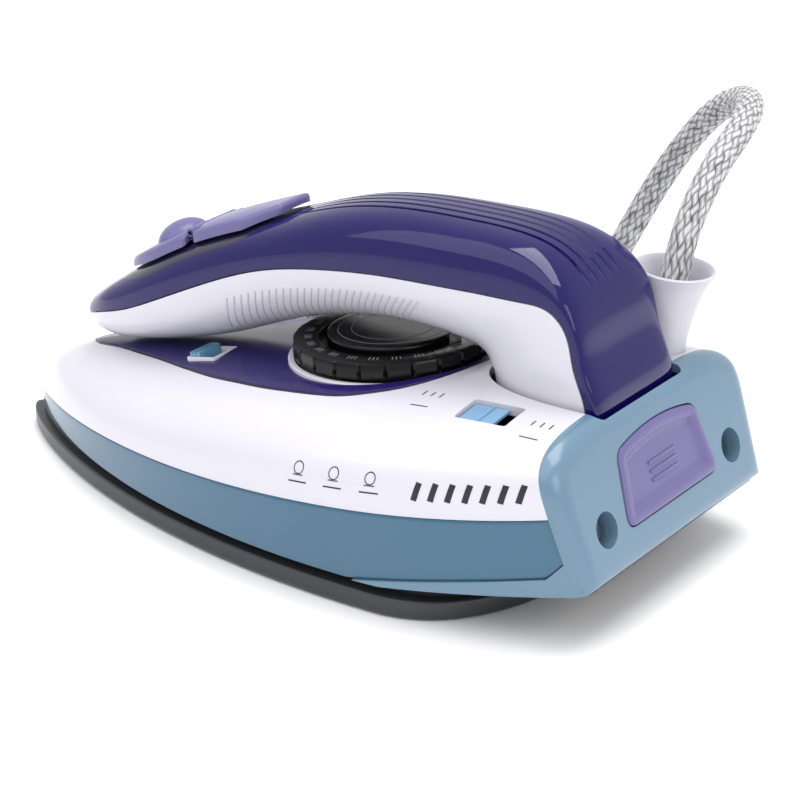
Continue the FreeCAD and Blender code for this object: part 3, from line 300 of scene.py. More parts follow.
def braided(name):
    """Textile sleeve: light and grey yarns crossing on the diagonal, from the tube's own UVs."""
    material, nodes, links, shader = node_graph(name)
    place = add(nodes, "ShaderNodeTexCoord")
    split = add(nodes, "ShaderNodeSeparateXYZ")
    links.new(place.outputs["UV"], split.inputs["Vector"])

    def calc(operation, first, second=None):
        node = add(nodes, "ShaderNodeMath", operation=operation)
        for socket, value in zip(node.inputs, (first, second)):
            if isinstance(value, (int, float)):
                socket.default_value = value
            elif value is not None:
                links.new(value, socket)
        return node.outputs[0]

    along = calc("MULTIPLY", split.outputs["X"], YARNS_ALONG)
    around = calc("MULTIPLY", split.outputs["Y"], YARNS_AROUND)
    waves = []
    for sign in ("ADD", "SUBTRACT"):
        lane = calc(sign, along, around)
        waves.append((calc("FRACT", lane), calc("FLOOR", lane)))
    over = calc("MODULO", calc("ADD", waves[0][1], waves[1][1]), 2.0)
    heights = [calc("SINE", calc("MULTIPLY", w[0], math.pi)) for w in waves]
    pick = add(nodes, "ShaderNodeMix", data_type="FLOAT")
    links.new(calc("ABSOLUTE", over), pick.inputs["Factor"])
    links.new(heights[0], pick.inputs["A"])
    links.new(heights[1], pick.inputs["B"])
    yarn = add(nodes, "ShaderNodeTexNoise", Scale=420.0, Detail=3.0)
    links.new(place.outputs["Object"], yarn.inputs["Vector"])
    ramp = add(nodes, "ShaderNodeValToRGB")
    ramp.color_ramp.elements[0].position = 0.28
    ramp.color_ramp.elements[0].color = (0.07, 0.07, 0.08, 1)
    ramp.color_ramp.elements[1].position = 0.68
    ramp.color_ramp.elements[1].color = (0.60, 0.60, 0.62, 1)
    weave = calc("MULTIPLY", pick.outputs["Result"], 0.34)
    fleck = calc("MULTIPLY", yarn.outputs["Fac"], 0.62)
    links.new(calc("ADD", weave, fleck), ramp.inputs["Fac"])
    links.new(ramp.outputs["Color"], shader.inputs["Base Color"])
    bump = add(nodes, "ShaderNodeBump", Strength=0.9, Distance=0.0006)
    links.new(pick.outputs["Result"], bump.inputs["Height"])
    links.new(bump.outputs["Normal"], shader.inputs["Normal"])
    shader.inputs["Roughness"].default_value = 0.8
    shader.inputs["Sheen Weight"].default_value = 0.3
    return material


WHITE = moulded("casing_white", (0.60, 0.59, 0.655), 0.22, depth=0.02, vary=0.015, coat=0.35)
SKIRT_BLUE = moulded("skirt_blue", (0.034, 0.112, 0.190), 0.24, depth=0.03, vary=0.05, coat=0.3)
HEEL_BLUE = moulded("heel_blue", (0.115, 0.205, 0.290), 0.24, depth=0.03, vary=0.04, coat=0.3)
SOLE = moulded("sole_coating", (0.045, 0.050, 0.054), 0.36, grain=2400.0, depth=0.25, vary=0.12,
               metallic=0.35)
# Near-black heat shield: partly the shield's own black, partly painted shade of the gap between the soleplate
# and the skirt.
SHIELD_BLACK_AND_SHADE = moulded("shield_black_and_painted_shade", (0.010, 0.010, 0.012), 0.5, grain=1500.0, depth=0.15)
CONSOLE = moulded("console_violet", (0.014, 0.008, 0.090), 0.18, depth=0.02, coat=0.15, specular=0.3)
# Near-black rim round the console panel: painted shade of the gap between the panel and its recess in the
# casing.
CONSOLE_EDGE_SHADE = moulded("console_edge_painted_shade", (0.006, 0.005, 0.016), 0.3)
LAVENDER = moulded("lid_lavender", (0.125, 0.108, 0.265), 0.33, grain=1600.0, depth=0.08, vary=0.05,
                   coat=0.12)
# Near-black violet under the filler lid: painted shade of the recess in the cover round the lid.
LID_SEAT_SHADE = moulded("lid_seat_painted_shade", (0.010, 0.008, 0.028), 0.16, depth=0.02, coat=0.4)
COVER = moulded("cover_violet", (0.009, 0.003, 0.150), 0.06, depth=0.01, vary=0.05, coat=0.15,
                transmission=0.5, specular=0.3)
DIAL = moulded("dial_black", (0.0025, 0.0025, 0.003), 0.2, grain=1800.0, depth=0.08, coat=0.11, specular=0.22)
PRINT_GREY = moulded("print_grey", (0.16, 0.17, 0.19), 0.45, vary=0.1)
PRINT_BLACK = moulded("print_black", (0.012, 0.012, 0.014), 0.4, vary=0.1)
PRINT_PALE = moulded("print_pale", (0.25, 0.23, 0.50), 0.4, vary=0.1)
PEG = moulded("peg_grey", (0.22, 0.23, 0.22), 0.4, depth=0.06)
SLIDER_BLUE = moulded("slider_blue", (0.09, 0.26, 0.40), 0.2, depth=0.03, coat=0.4)
SLIDER_PALE = moulded("slider_pale", (0.17, 0.33, 0.50), 0.3, depth=0.05, coat=0.2)
SOFT_WHITE = moulded("gland_white", (0.56, 0.55, 0.61), 0.42, grain=1500.0, depth=0.1, vary=0.03)
BLACK = moulded("black_plastic", (0.014, 0.014, 0.016), 0.42, grain=1500.0, depth=0.15)
GREY = moulded("frame_grey", (0.16, 0.16, 0.17), 0.5, grain=1200.0, depth=0.15)
CLEAR = moulded("clear_plastic", (0.55, 0.58, 0.66), 0.12, depth=0.03, transmission=0.8)
GASKET = moulded("gasket_red", (0.28, 0.05, 0.03), 0.6, grain=1200.0, depth=0.2)
LEAD = moulded("lead_grey", (0.2, 0.2, 0.21), 0.5, depth=0.1)
STEEL = brushed("steel", (0.52, 0.52, 0.54), 0.3, (1.0, 12.0, 12.0))
ELEMENT = brushed("element_steel", (0.26, 0.24, 0.22), 0.45, (12.0, 1.0, 12.0))
BRASS = brushed("brass", (0.58, 0.40, 0.15), 0.3, (12.0, 12.0, 1.0))
BRAID = braided("braid")
# Grey on the raised grip ridges, darker than the white shell: painted shade of the ridges.
GRIP_RIDGE_SHADE = moulded("grip_ridges_painted_shade", (0.47, 0.46, 0.52), 0.4)


def dress(obj, material, body, stands_for=()):
    """Give a piece its material, its body and the CAD nodes that it stands for."""
    obj.data.materials.clear()
    obj.data.materials.append(material)
    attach(obj, body)
    if stands_for:
        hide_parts(*stands_for)
    return obj


# ---- outer form of the base ----
NOSE_X, WIDEST_X, TAIL_X, HALF_WIDTH, TAIL_DROP = -90.8, 38.0, 93.0, 46.6, 9.3
HEEL_X0, HEEL_SLOPE, HEEL_CAP, WALL = 97.53, 0.3259, 4.2, 2.2
PANEL_INSET = 0.45


def half_width(x):
    """Half the body's width at a station."""
    if x < WIDEST_X:
        u = min(1.0, (WIDEST_X - x) / (WIDEST_X - NOSE_X))
        return HALF_WIDTH * (1 - u ** 2.1) ** 0.85
    return HALF_WIDTH - TAIL_DROP * ((x - WIDEST_X) / (TAIL_X - WIDEST_X)) ** 1.9


def split_z(x):
    """Height of the line between the skirt and the casing."""
    return 19.9 + 0.083 * x + 1.2e-4 * x * x + 3.6e-6 * x ** 3


def deck_z(x):
    """Height of the casing's centre line."""
    flat = 39.106 + 0.14803 * x - 8.275e-4 * x * x - 4.524e-6 * x ** 3 + 2.902e-8 * x ** 4
    u = min(1.0, max(0.0, (x - NOSE_X) / 32.0))
    return split_z(x) + (flat - split_z(x)) * (1 - (1 - u) ** 2.2) ** 0.62


def shoulder_z(x):
    return split_z(x) - 1.5


def skirt_z(x):
    return 7.2 + 0.129 * max(0.0, x - 45.0)


def crown(x):
    """Roundness of the casing's cross-section: 2 is an ellipse, more is boxier."""
    t = min(1.0, max(0.0, (x + 60.0) / 80.0))
    return 2.1 + 0.9 * t * t * (3 - 2 * t) + 1.7 * max(0.0, (x - 30.0) / 60.0) ** 1.6


def lip_z(x):
    """Top of the heel cover's lip under the side panel."""
    if x < 83.0:
        return 7.2 + 0.2 * (x - 38.0)
    return 16.2 + (x - 83.0) * 1.056


def heel_x(z, back=0.0):
    return HEEL_X0 - HEEL_SLOPE * z - back


def reach_heel(back, height):
    """Station x where a line of height(x) meets the plane parallel to the heel."""
    x = 88.0
    for _ in range(12):
        x = heel_x(height(x), back)
    return x


def toward_heel(line, start, back, share):
    """Point part of the way along line(x), from a station to a plane parallel to the heel."""
    end = reach_heel(back, lambda x: line(x)[2])
    return line(start + (end - start) * share)


def arch_point(x, a, grow=0.0):
    """Point on the casing's cross-section at an angle from its right shoulder."""
    half = max(half_width(x) + grow, 0.3 * half_width(x), 0.02)
    full = deck_z(x) - shoulder_z(x)
    rise = max(full + grow, 0.3 * full)
    n = crown(x)
    y = math.copysign(half * abs(math.cos(a)) ** (2 / n), math.cos(a))
    return x, y, shoulder_z(x) + rise * max(0.0, math.sin(a)) ** (2 / n)


def deck_point(x, y, grow=0.0):
    """Point over (x, y) on the casing, moved outwards by grow."""
    half, n = half_width(x) + grow, crown(x)
    share = min(1.0, abs(y) / half)
    rise = deck_z(x) - shoulder_z(x) + grow
    return x, y, shoulder_z(x) + rise * (1 - share ** n) ** (1 / n)


LEAN = math.atan(HEEL_SLOPE)
HEEL = Matrix.Translation((HEEL_X0, 0, 0)) @ Matrix((
    (0, -math.sin(LEAN), math.cos(LEAN)), (1, 0, 0), (0, math.cos(LEAN), math.sin(LEAN)))).to_4x4()
DIAL_FRAME = frame_at(17.76, 0, 45.4, -3.5, "Y")
GLAND_AXIS = Vector((0.10, 0.05, 0.99)).normalized()
GLAND_TURN = GLAND_AXIS.to_track_quat("Z", "X").to_matrix().to_4x4()
GLAND_FRAME = Matrix.Translation((72.6, 24.9, 39.0)) @ GLAND_TURN


def heel_v(z):
    return z * math.sqrt(1 + HEEL_SLOPE ** 2)


def upper_casing():
    """White casing: a curved sheet from the split line over the deck to the heel cover."""
    places = [(0.0, -0.35), (0.004, -0.1), (0.012, 0.0)]
    places += [(v, 0.0) for v in np.linspace(0.02, 0.98, 61)]
    places += [(1 - v, g) for v, g in places[2::-1]]
    rows = [0.0] + list(np.linspace(0.0, 1.0, 90)[1:] ** 1.45)

    def grid(grow, start):
        def spot(x, v, edge):
            low = math.asin(min(1.0, 1.5 / (deck_z(x) - shoulder_z(x))) ** (crown(x) / 2))
            return arch_point(x, low + v * (math.pi - 2 * low), grow + edge)

        return [[toward_heel(lambda x: spot(x, v, edge), start, HEEL_CAP, t) for v, edge in places]
                for t in rows]

    return shell_object("upper_casing_skin", grid(0.0, NOSE_X + 0.02), grid(-WALL, NOSE_X + 1.2))


def flank_grid(grow, start, back, levels, places, height):
    """Grid on the body's flanks: a row per (share of the height, distance out), and a column per
    (share of the way to the heel, side)."""
    def spot(x, side, share, edge):
        return x, side * max(0.0, half_width(x) + grow + edge), height(x, share)

    return [[toward_heel(lambda x: spot(x, side, share, edge), start, back, t) for t, side in places]
            for share, edge in levels]


# (share of the height, distance out) down a panel with softened edges
EDGE_LEVELS = [
    (0.0, -0.3), (0.02, -0.08), (0.06, 0.0), (0.2, 0.0), (0.4, 0.0), (0.6, 0.0), (0.8, 0.0), (0.94, 0.0),
    (0.98, -0.08), (1.0, -0.3),
]


def lower_skirt():
    """Side panels in one sheet, from one rear end round the nose to the other."""
    def height(x, share):
        low = max(skirt_z(x), lip_z(x) + 0.12) if x > 38 else 7.2
        return low + (split_z(x) - 0.3 - low) * share

    along = np.concatenate([np.linspace(0, 1, 52) ** 1.55 * 0.93, np.linspace(0.936, 1, 14)])
    places = [(t, 1) for t in along[:0:-1]] + [(0.0, 0)] + [(t, -1) for t in along[1:]]
    walls = [flank_grid(-PANEL_INSET - thick, start, HEEL_CAP + 0.1, EDGE_LEVELS, places, height)
             for thick, start in ((0.0, -90.54), (1.9, -87.2))]
    return shell_object("lower_skirt_skin", *walls)


def heel_outline(back):
    """The body's outline on a plane parallel to the heel, as (y, distance up the heel)."""
    def on_plane(point):
        _, y, z = toward_heel(point, 0, back, 1)
        return y, heel_v(z)

    points = []
    for share in np.linspace(0.02, 1.0, 8)[:-1]:
        def flank(x, share=share):
            return x, half_width(x), skirt_z(x) + (shoulder_z(x) - skirt_z(x)) * share
        points.append(on_plane(flank))
    for a in np.linspace(0, math.pi, 61):
        points.append(on_plane(lambda x: arch_point(x, a)))
    points += [(-y, v) for y, v in points[6::-1]]
    low_y, low_v = on_plane(lambda x: (x, half_width(x), skirt_z(x)))
    corner = 1.4
    left = [(-low_y + corner * (1 - math.cos(t)), low_v + corner * (1 - math.sin(t))) for t in quarter(4)]
    flat = [(y, low_v) for y in np.linspace(-low_y + corner, low_y - corner, 19)[1:-1]]
    right = [(-y, v) for y, v in left[::-1]]
    return points + left + flat + right


def inset_loop(points, distance):
    """Closed loop of 2-D points moved inwards, with any folds at tight corners pulled straight."""
    loop = np.array(points, float)
    along = np.roll(loop, -1, 0) - np.roll(loop, 1, 0)
    along /= np.maximum(np.linalg.norm(along, axis=1, keepdims=True), 1e-9)
    x, y = loop.T
    turn = np.sign(np.sum(x * np.roll(y, -1) - np.roll(x, -1) * y))
    inward = np.stack([-along[:, 1], along[:, 0]], 1) * turn
    moved = loop + inward * distance
    if distance <= 0.2:
        return moved
    run = np.roll(loop, -1, 0) - loop
    length = np.maximum((run ** 2).sum(1), 1e-12)
    offset = moved[:, None, :] - loop[None, :, :]
    share = np.clip((offset * run[None]).sum(2) / length[None], 0, 1)
    gap = np.linalg.norm(offset - share[..., None] * run[None], axis=2).min(1)
    good = np.flatnonzero(gap > distance * 0.97)
    count = len(loop)
    for i in np.flatnonzero(gap <= distance * 0.97):
        before = good[(good < i).sum() - 1]
        after = good[(good < i).sum() % len(good)]
        span = (after - before) % count or 1
        moved[i] = moved[before] + (moved[after] - moved[before]) * ((i - before) % count) / span
    return moved


def toward(loop, centre, share):
    """Loop shrunk towards a centre."""
    return np.array(centre) + (np.array(loop) - np.array(centre)) * share


FILL_SHARES = (0.12, 0.3, 0.5, 0.7, 0.88)


def pad(name, outline, surface, low, profile, centre=None):
    """Patch that follows a surface; profile lists (distance in from the edge, level)."""
    outline = np.array(outline)
    centre = outline.mean(0) if centre is None else centre
    deepest, top = profile[-1]
    inside = inset_loop(outline, deepest)
    rings = [(toward(inside, centre, s), low) for s in FILL_SHARES] + [(inside, low), (outline, low)]
    rings += [(inset_loop(outline, d), level) for d, level in profile]
    rings += [(toward(inside, centre, s), top) for s in FILL_SHARES[::-1]]
    return ring_object(name, [[surface(p[0], p[1], level) for p in loop] for loop, level in rings])


def soft_edge(top, radius, steps=4):
    """Profile of a rounded edge."""
    return [(radius * (1 - math.cos(t)), top - radius * (1 - math.sin(t))) for t in quarter(steps)]


def heel_surface(u, v, level):
    return tuple(HEEL @ Vector((u, v, level)))


def heel_ring(back, inset, share=1.0):
    """Ring of points on a plane parallel to the heel, moved in and then shrunk."""
    loop = inset_loop(heel_outline(back), inset)
    loop = toward(loop, (0, heel_v(25.0)), share)
    points = []
    for u, v in loop:
        z = v / math.sqrt(1 + HEEL_SLOPE ** 2)
        points.append((heel_x(z, back), u, z))
    return points


def fine_loop(corners, radius, step=1.0):
    """Closed polygon with rounded corners, in short steps."""
    spots = [Vector(corner) for corner in corners]
    bends = []
    for i, here in enumerate(spots):
        come, go = spots[i - 1] - here, spots[(i + 1) % len(spots)] - here
        reach = min(radius / math.tan(max(0.15, come.angle(go) / 2)), 0.45 * come.length, 0.45 * go.length)
        bends.append((here + come.normalized() * reach, here, here + go.normalized() * reach))
    points = []
    for (a, here, b), (end, _, _) in zip(bends, bends[1:] + bends[:1]):
        points += [a * (1 - t) ** 2 + here * 2 * t * (1 - t) + b * t * t for t in (k / 6 for k in range(7))]
        count = max(1, int((end - b).length / step))
        points += [b + (end - b) * k / count for k in range(1, count)]
    return [(p.x, p.y) for p in points]


PUSH_LOW, PUSH_HIGH = 21.3, 36.6
SCREWS = [HEEL @ Matrix.Translation((y, heel_v(24.0), 0)) for y in (-26.8, 26.8)]


def push_loop(grow):
    """Push button's outline on the heel: a trapezium with an arched top."""
    v0, v1 = heel_v(PUSH_LOW) - grow, heel_v(PUSH_HIGH) + grow
    w0, w1 = 19.2 + grow, 16.4 + grow
    loop = []
    for u, v in fine_loop([(-w0, v0), (w0, v0), (w1, v1), (-w1, v1)], 2.6 + grow, 0.8):
        share = max(0.0, (v - v1 + 4.0) / 4.0)
        loop.append((u, v + 2.2 * share * (1 - (u / w1) ** 2)))
    return loop


LIP_FRONT = 38.3


def heel_cover():
    """Heel cover with its screw bosses, and the thin lip that runs forward under each side panel."""
    rim = 3.3
    rings = [heel_ring(WALL, WALL, s) for s in FILL_SHARES]
    rings += [heel_ring(WALL, WALL), heel_ring(HEEL_CAP, WALL)]
    rings += [heel_ring(b, 0.0) for b in (HEEL_CAP, 3.9, 3.6)]
    rings += [heel_ring(rim * (1 - math.sin(t)), rim * (1 - math.cos(t))) for t in quarter(5)]
    rings += [heel_ring(0.0, rim, s) for s in (0.97,) + FILL_SHARES[::-1]]
    cap = ring_object("cap", rings, 40)
    hole = pad("hole", push_loop(0.25), heel_surface, -12, [(0, 5), (0.5, 5)])
    seats = [lathe("seat", [(3.9, -12.0), (3.9, 5.0)], place, 48) for place in SCREWS]
    carve(cap, [hole, well_cutter()] + seats)
    parts = [cap]
    profile = [(1.5, -9.6), (4.9, -9.6), (4.9, -1.9), (3.95, -1.9), (3.9, -7.4), (1.5, -7.4)]
    parts += [lathe("boss", profile, place, 48, True) for place in SCREWS]

    def height(x, share):
        return skirt_z(x) + max(0.05, min(lip_z(x), 20.5) - skirt_z(x)) * share

    levels = EDGE_LEVELS[:-2] + [(0.97, 0.0), (1.0, -0.15)]
    for side in (1, -1):
        places = [(t, side) for t in np.linspace(0, 1, 50)]
        walls = [flank_grid(grow, LIP_FRONT, HEEL_CAP - 0.05, levels, places, height)
                 for grow in (0.0, -WALL)]
        parts.append(shell_object("lip", *walls))
    return join("heel_cover_skin", parts)


def well_loop():
    """Outline in plan of the well that takes the handle's foot."""
    half, power, rear = 17.7, 2.3, 82.55
    front = []
    for i in range(33):
        a = math.pi * i / 32
        y = math.copysign(half * abs(math.cos(a)) ** (2 / power), math.cos(a))
        front.append((78.2 - 32.0 * math.sin(a) ** (2 / power), y))
    back = []
    for side in (-1, 1):
        corner = [(rear - 2 + 2 * math.sin(t), side * (half - 2 + 2 * math.cos(t))) for t in quarter(5)]
        back += corner if side == -1 else corner[::-1]
    return front + back


def well_cutter():
    return prism("well_tool", well_loop(), 20.0, 70.0)


def box_cutter(window, grow):
    x0, x1, y0, y1 = window
    x0, x1, y0, y1 = x0 - grow, x1 + grow, y0 - grow, y1 + grow
    loop = fine_loop([(x0, y0), (x1, y0), (x1, y1), (x0, y1)], 0.8, 2.0)
    return prism("window_tool", loop, 20.0, 60.0)


STEAM_WINDOW = (-30.3, -22.1, -15.6, -6.6)
VOLT_WINDOW = (53.9, 66.7, -30.0, -21.4)
# half outline of the console panel in plan
LEAF = [
    (-71.6, 0), (-67.6, 3.6), (-58.9, 6.6), (-49.5, 9.9), (-40.5, 13.3), (-30.9, 17.3), (-22.3, 20.7),
    (-14.1, 23.5), (-7, 25.3), (0, 26.9), (8, 28.0), (17.8, 28.5), (24, 27.8), (29, 25.6), (34.6, 21.8),
    (38.5, 16.5), (41.4, 8.9), (43.2, 0),
]


def leaf_loop(grow):
    side = smooth_rows(LEAF, 80, [0, 1])
    loop = [(x, y) for x, y in side] + [(x, -y) for x, y in side[-2:0:-1]]
    return inset_loop(loop, -grow)


def dial_hole():
    return lathe("dial_tool", [(24.4, -12.0), (24.4, 20.0)], DIAL_FRAME, 128)


casing = upper_casing()
gland_tool = lathe("gland_tool", [(4.85, -10.0), (4.85, 20.0)], GLAND_FRAME, 48)
recess_tool = pad("recess_tool", leaf_loop(0.62), deck_point, -1.12, [(0.0, 4.0), (0.5, 4.0)], (0.0, 0.0))
carve(casing, [recess_tool])
windows = [box_cutter(STEAM_WINDOW, 0.25), box_cutter(VOLT_WINDOW, 0.0)]
carve(casing, [dial_hole(), well_cutter()] + windows + [gland_tool])
dress(casing, WHITE, "base", ["upper_casing"])

dress(lower_skirt(), SKIRT_BLUE, "base", ["lower_skirt"])
dress(heel_cover(), HEEL_BLUE, "base", ["heel_cover"])

# The first pad is a near-black rim of painted shade in the gap round the panel; the second is the violet
# panel itself.
for name, grow, low, edge, material in (("console_edge_painted_shade", 0.55, -1.1, soft_edge(0.1, 0.15), CONSOLE_EDGE_SHADE),
                                        ("console_top", 0.0, -0.2, soft_edge(0.25, 0.2), CONSOLE)):
    sheet = pad(name, leaf_loop(grow), deck_point, low, edge, (0.0, 0.0))
    carve(sheet, [dial_hole(), box_cutter(STEAM_WINDOW, 0.25)])
    dress(sheet, material, "base", ["console_panel"])


# ---- soleplate ----
def bezier(points, count):
    out = []
    for t in np.linspace(0, 1, count):
        w = [(1 - t) ** 3, 3 * t * (1 - t) ** 2, 3 * t * t * (1 - t), t ** 3]
        out.append(tuple(sum(k * p[i] for k, p in zip(w, points)) for i in (0, 1)))
    return out


def sole_loop():
    side = bezier([(-93.25, 0), (-93.25, 5), (-42, 45.6), (41.95, 45.6)], 70)
    side += bezier([(41.95, 45.6), (63.2, 45.6), (71.8, 25), (71.8, 0)], 40)[1:]
    return side + [(x, -y) for x, y in side[-2:0:-1]]


def soleplate():
    loop = sole_loop()
    edge, top_edge, top = 1.3, 0.7, 4.6
    levels = [(edge * (1 - math.cos(t)), edge * (1 - math.sin(t))) for t in np.linspace(math.pi / 2, 0, 6)]
    levels += soft_edge(top, top_edge)
    rings = [toward(inset_loop(loop, edge), (-10, 0), s) for s in FILL_SHARES]
    rings = [[(x, y, 0.0) for x, y in ring] for ring in rings]
    rings += [[(x, y, z) for x, y in inset_loop(loop, d)] for d, z in levels]
    rim = inset_loop(loop, top_edge)
    rings += [[(x, y, top) for x, y in toward(rim, (-10, 0), s)] for s in FILL_SHARES[::-1]]
    plate = ring_object("plate", rings, 40)
    holes = []
    for x in (-51, -45, -39, -33):
        for y in ([0] if x == -51 else [-7, 0, 7]):
            holes.append(lathe("steam", [(1.3, -1.0), (1.3, 3.0)], Matrix.Translation((x, y, 0)), 24))
    carve(plate, holes)
    half, front, rear = 22.0, -62.0, 44.0
    nose = bezier([(front, 0), (front, 6), (-34, half), (-14, half)], 24)
    island = nose + [(rear, half)] + [(x, -y) for x, y in ([(rear, half)] + nose[:0:-1])]
    return join("soleplate_body", [plate, prism("island", island, 4.5, 13.0)])


dress(soleplate(), SOLE, "base", ["soleplate"])


# ---- temperature dial ----
DIAL_R, DIAL_FACETS = 23.1, 24


def dial_ring():
    """Ring with flat facets and a fine groove at each joint."""
    def outer(a):
        share = 2 * math.pi / DIAL_FACETS
        off = (a + share / 2) % share - share / 2
        flat = DIAL_R * math.cos(share / 2) / math.cos(share / 2 - abs(off))
        groove = 0.5 * max(0.0, 1 - abs(off) / math.radians(1.3))
        return flat + 0.12 - groove

    offsets = [-1.35, -0.8, 0.0, 0.8, 1.35, 3.5, 5.6, 7.5, 9.4, 11.5]
    turns = [math.radians(15 * i + o) for i in range(DIAL_FACETS) for o in offsets]
    profile = [(0, 17.0, -4.0), (0, 17.0, -0.35), (0, 17.15, -0.1), (0, 17.4, 0.0), (0, 21.9, 0.0),
               (1, -0.75, -0.06), (1, -0.2, -0.3), (1, 0.0, -0.75), (1, 0.0, -3.6), (1, -0.3, -4.0)]
    rings = []
    for follow, r, z in profile:
        ring = []
        for a in turns:
            radius = outer(a) + r if follow else r
            ring.append(tuple(DIAL_FRAME @ Vector((radius * math.cos(a), radius * math.sin(a), z))))
        rings.append(ring)
    return ring_object("ring", rings, 38, True)


hub_profile = [(2.52, -10.5), (4.6, -10.5), (4.6, -4.6), (17.2, -3.9), (17.2, -3.2), (2.52, -3.2)]
hub = lathe("hub", hub_profile, DIAL_FRAME, 96, True)
dress(join("dial_ring", [dial_ring(), hub]), DIAL, "dial", ["temperature_dial"])

CAP_TOP = 1.1
cap_profile = [(0.02, -3.1), (15.0, -3.1), (15.2, -2.9), (15.2, 0.3)]
cap_profile += [(14.4 + 0.8 * math.cos(t), 0.3 + 0.8 * math.sin(t)) for t in np.linspace(0.2, math.pi / 2, 6)]
cap_profile += [(radius, CAP_TOP) for radius in (13.4, 11.0, 6.0, 0.02)]
dress(lathe("dial_cap_top", cap_profile, DIAL_FRAME, 128), DIAL, "dial", ["dial_cap"])


def print_ring(name, radius, width):
    """Thin printed circle on the dial's cap."""
    low, high, near, far = CAP_TOP - 0.1, CAP_TOP + 0.03, radius - width / 2, radius + width / 2
    ring = lathe(name, [(near, low), (far, low), (far, high), (near, high)], DIAL_FRAME, 128, True)
    return dress(ring, PRINT_GREY, "dial")


def sloped(x, y):
    """Frame on the casing over (x, y) that follows its slope both ways."""
    spot = Vector(deck_point(x, y))
    along = (Vector(deck_point(x + 1, y)) - spot).normalized()
    up = along.cross(Vector(deck_point(x, y + 1)) - spot).normalized()
    turn = Matrix((along, up.cross(along), up)).transposed()
    return Matrix.Translation(spot) @ turn.to_4x4()


def mark(name, strokes, surface, material, body, level=0.05):
    """Thin raised strokes on a surface: each stroke is (u, v, u, v, width)."""
    parts = []
    for ua, va, ub, vb, width in strokes:
        length = math.hypot(ub - ua, vb - va)
        side_u, side_v = (vb - va) / length * width / 2, (ua - ub) / length * width / 2
        steps = max(1, int(length / 0.8))
        verts = []
        for k in range(steps + 1):
            u, v = ua + (ub - ua) * k / steps, va + (vb - va) * k / steps
            for sign, height in ((-1, -0.1), (-1, level), (1, level), (1, -0.1)):
                verts.append(surface(u + sign * side_u, v + sign * side_v, height))
        last = 4 * steps
        ends = [(3, 2, 1, 0), (last, last + 1, last + 2, last + 3)]
        parts.append(new_object("stroke", verts, grid_faces(steps + 1, 4, 0, True) + ends))
    return dress(join(name, parts), material, body)


def ring_strokes(u, v, radius, width, count=12):
    """Circle of short strokes."""
    turns = [2 * math.pi * k / count for k in range(count + 1)]
    spots = [(u + radius * math.cos(a), v + radius * math.sin(a)) for a in turns]
    return [(*a, *b, width) for a, b in zip(spots, spots[1:])]


def flank_point(u, v, level):
    """Point on the near flank of the casing at station u, v above the split line."""
    n = crown(u)
    half, full = half_width(u) + level, deck_z(u) - shoulder_z(u) + level
    up = min(0.999, (1.5 + v) / full)
    return u, -half * (1 - up ** n) ** (1 / n), shoulder_z(u) + full * up


def dial_face(u, v, level):
    return tuple(DIAL_FRAME @ Vector((u, v, level)))


# The slider's plate leans with the deck; the marks stand where words and symbols are printed.
volt_frame = sloped((VOLT_WINDOW[0] + VOLT_WINDOW[1]) / 2, (VOLT_WINDOW[2] + VOLT_WINDOW[3]) / 2)
plate = rounded_box("volt_plate", (-6.0, -3.8, -1.7), (2.5, 3.8, -0.85), 0.2, volt_frame)
rib = rounded_box("volt_rib", (-1.6, -3.6, -1.0), (-0.9, 3.6, -0.45), 0.15, volt_frame)
slider = join("voltage_slider_plate", [plate, rib])
dress(slider, SLIDER_PALE, "voltage_slider", ["voltage_slider"])
VOLT_SPOTS = ((41.5, -23.5), (71.5, -27.5))
VOLT_MARKS = [(x + 2.2 * i, y, x + 2.2 * i, y + 2.0, 0.3) for x, y in VOLT_SPOTS for i in range(3)]
VOLT_MARKS += [(x, y - 4.5, x + 4.4, y - 4.5, 0.3) for x, y in VOLT_SPOTS]
mark("voltage_marks", VOLT_MARKS, deck_point, PRINT_BLACK, "base")
FLANK_MARKS = []
for u in (24.0, 33.5, 43.0):
    FLANK_MARKS += ring_strokes(u, 7.6, 1.3, 0.2) + [(u - 2.4, 4.6, u + 2.4, 4.6, 0.3)]
    FLANK_MARKS += [(u - 1.3, 6.1, u + 1.3, 6.1, 0.2)]
FLANK_MARKS += [(54.0 + 3.9 * i, 3.9, 55.0 + 3.9 * i, 7.7, 1.4) for i in range(7)]
mark("flank_marks", FLANK_MARKS, flank_point, PRINT_BLACK, "base")
STEAM_MARKS = ring_strokes(-34.0, -10.5, 1.3, 0.25)
STEAM_MARKS += [(-18.5, -12.2, -16.2, -9.8, 0.25), (-18.5, -9.8, -16.2, -12.2, 0.25)]
mark("steam_marks", STEAM_MARKS, lambda u, v, level: deck_point(u, v, level + 0.15), PRINT_PALE, "base")
RIM_MARKS = []
for i in range(DIAL_FACETS):
    for k in range(3):
        a = math.radians(15 * i + 4) + math.radians(2.6 * k)
        c, s = math.cos(a), math.sin(a)
        RIM_MARKS.append((18.6 * c, 18.6 * s, 20.3 * c, 20.3 * s, 0.28))
mark("rim_marks", RIM_MARKS, dial_face, PRINT_GREY, "dial", 0.03)


print_ring("dial_line_outer", 12.6, 0.26)
print_ring("dial_line_inner", 9.5, 0.22)


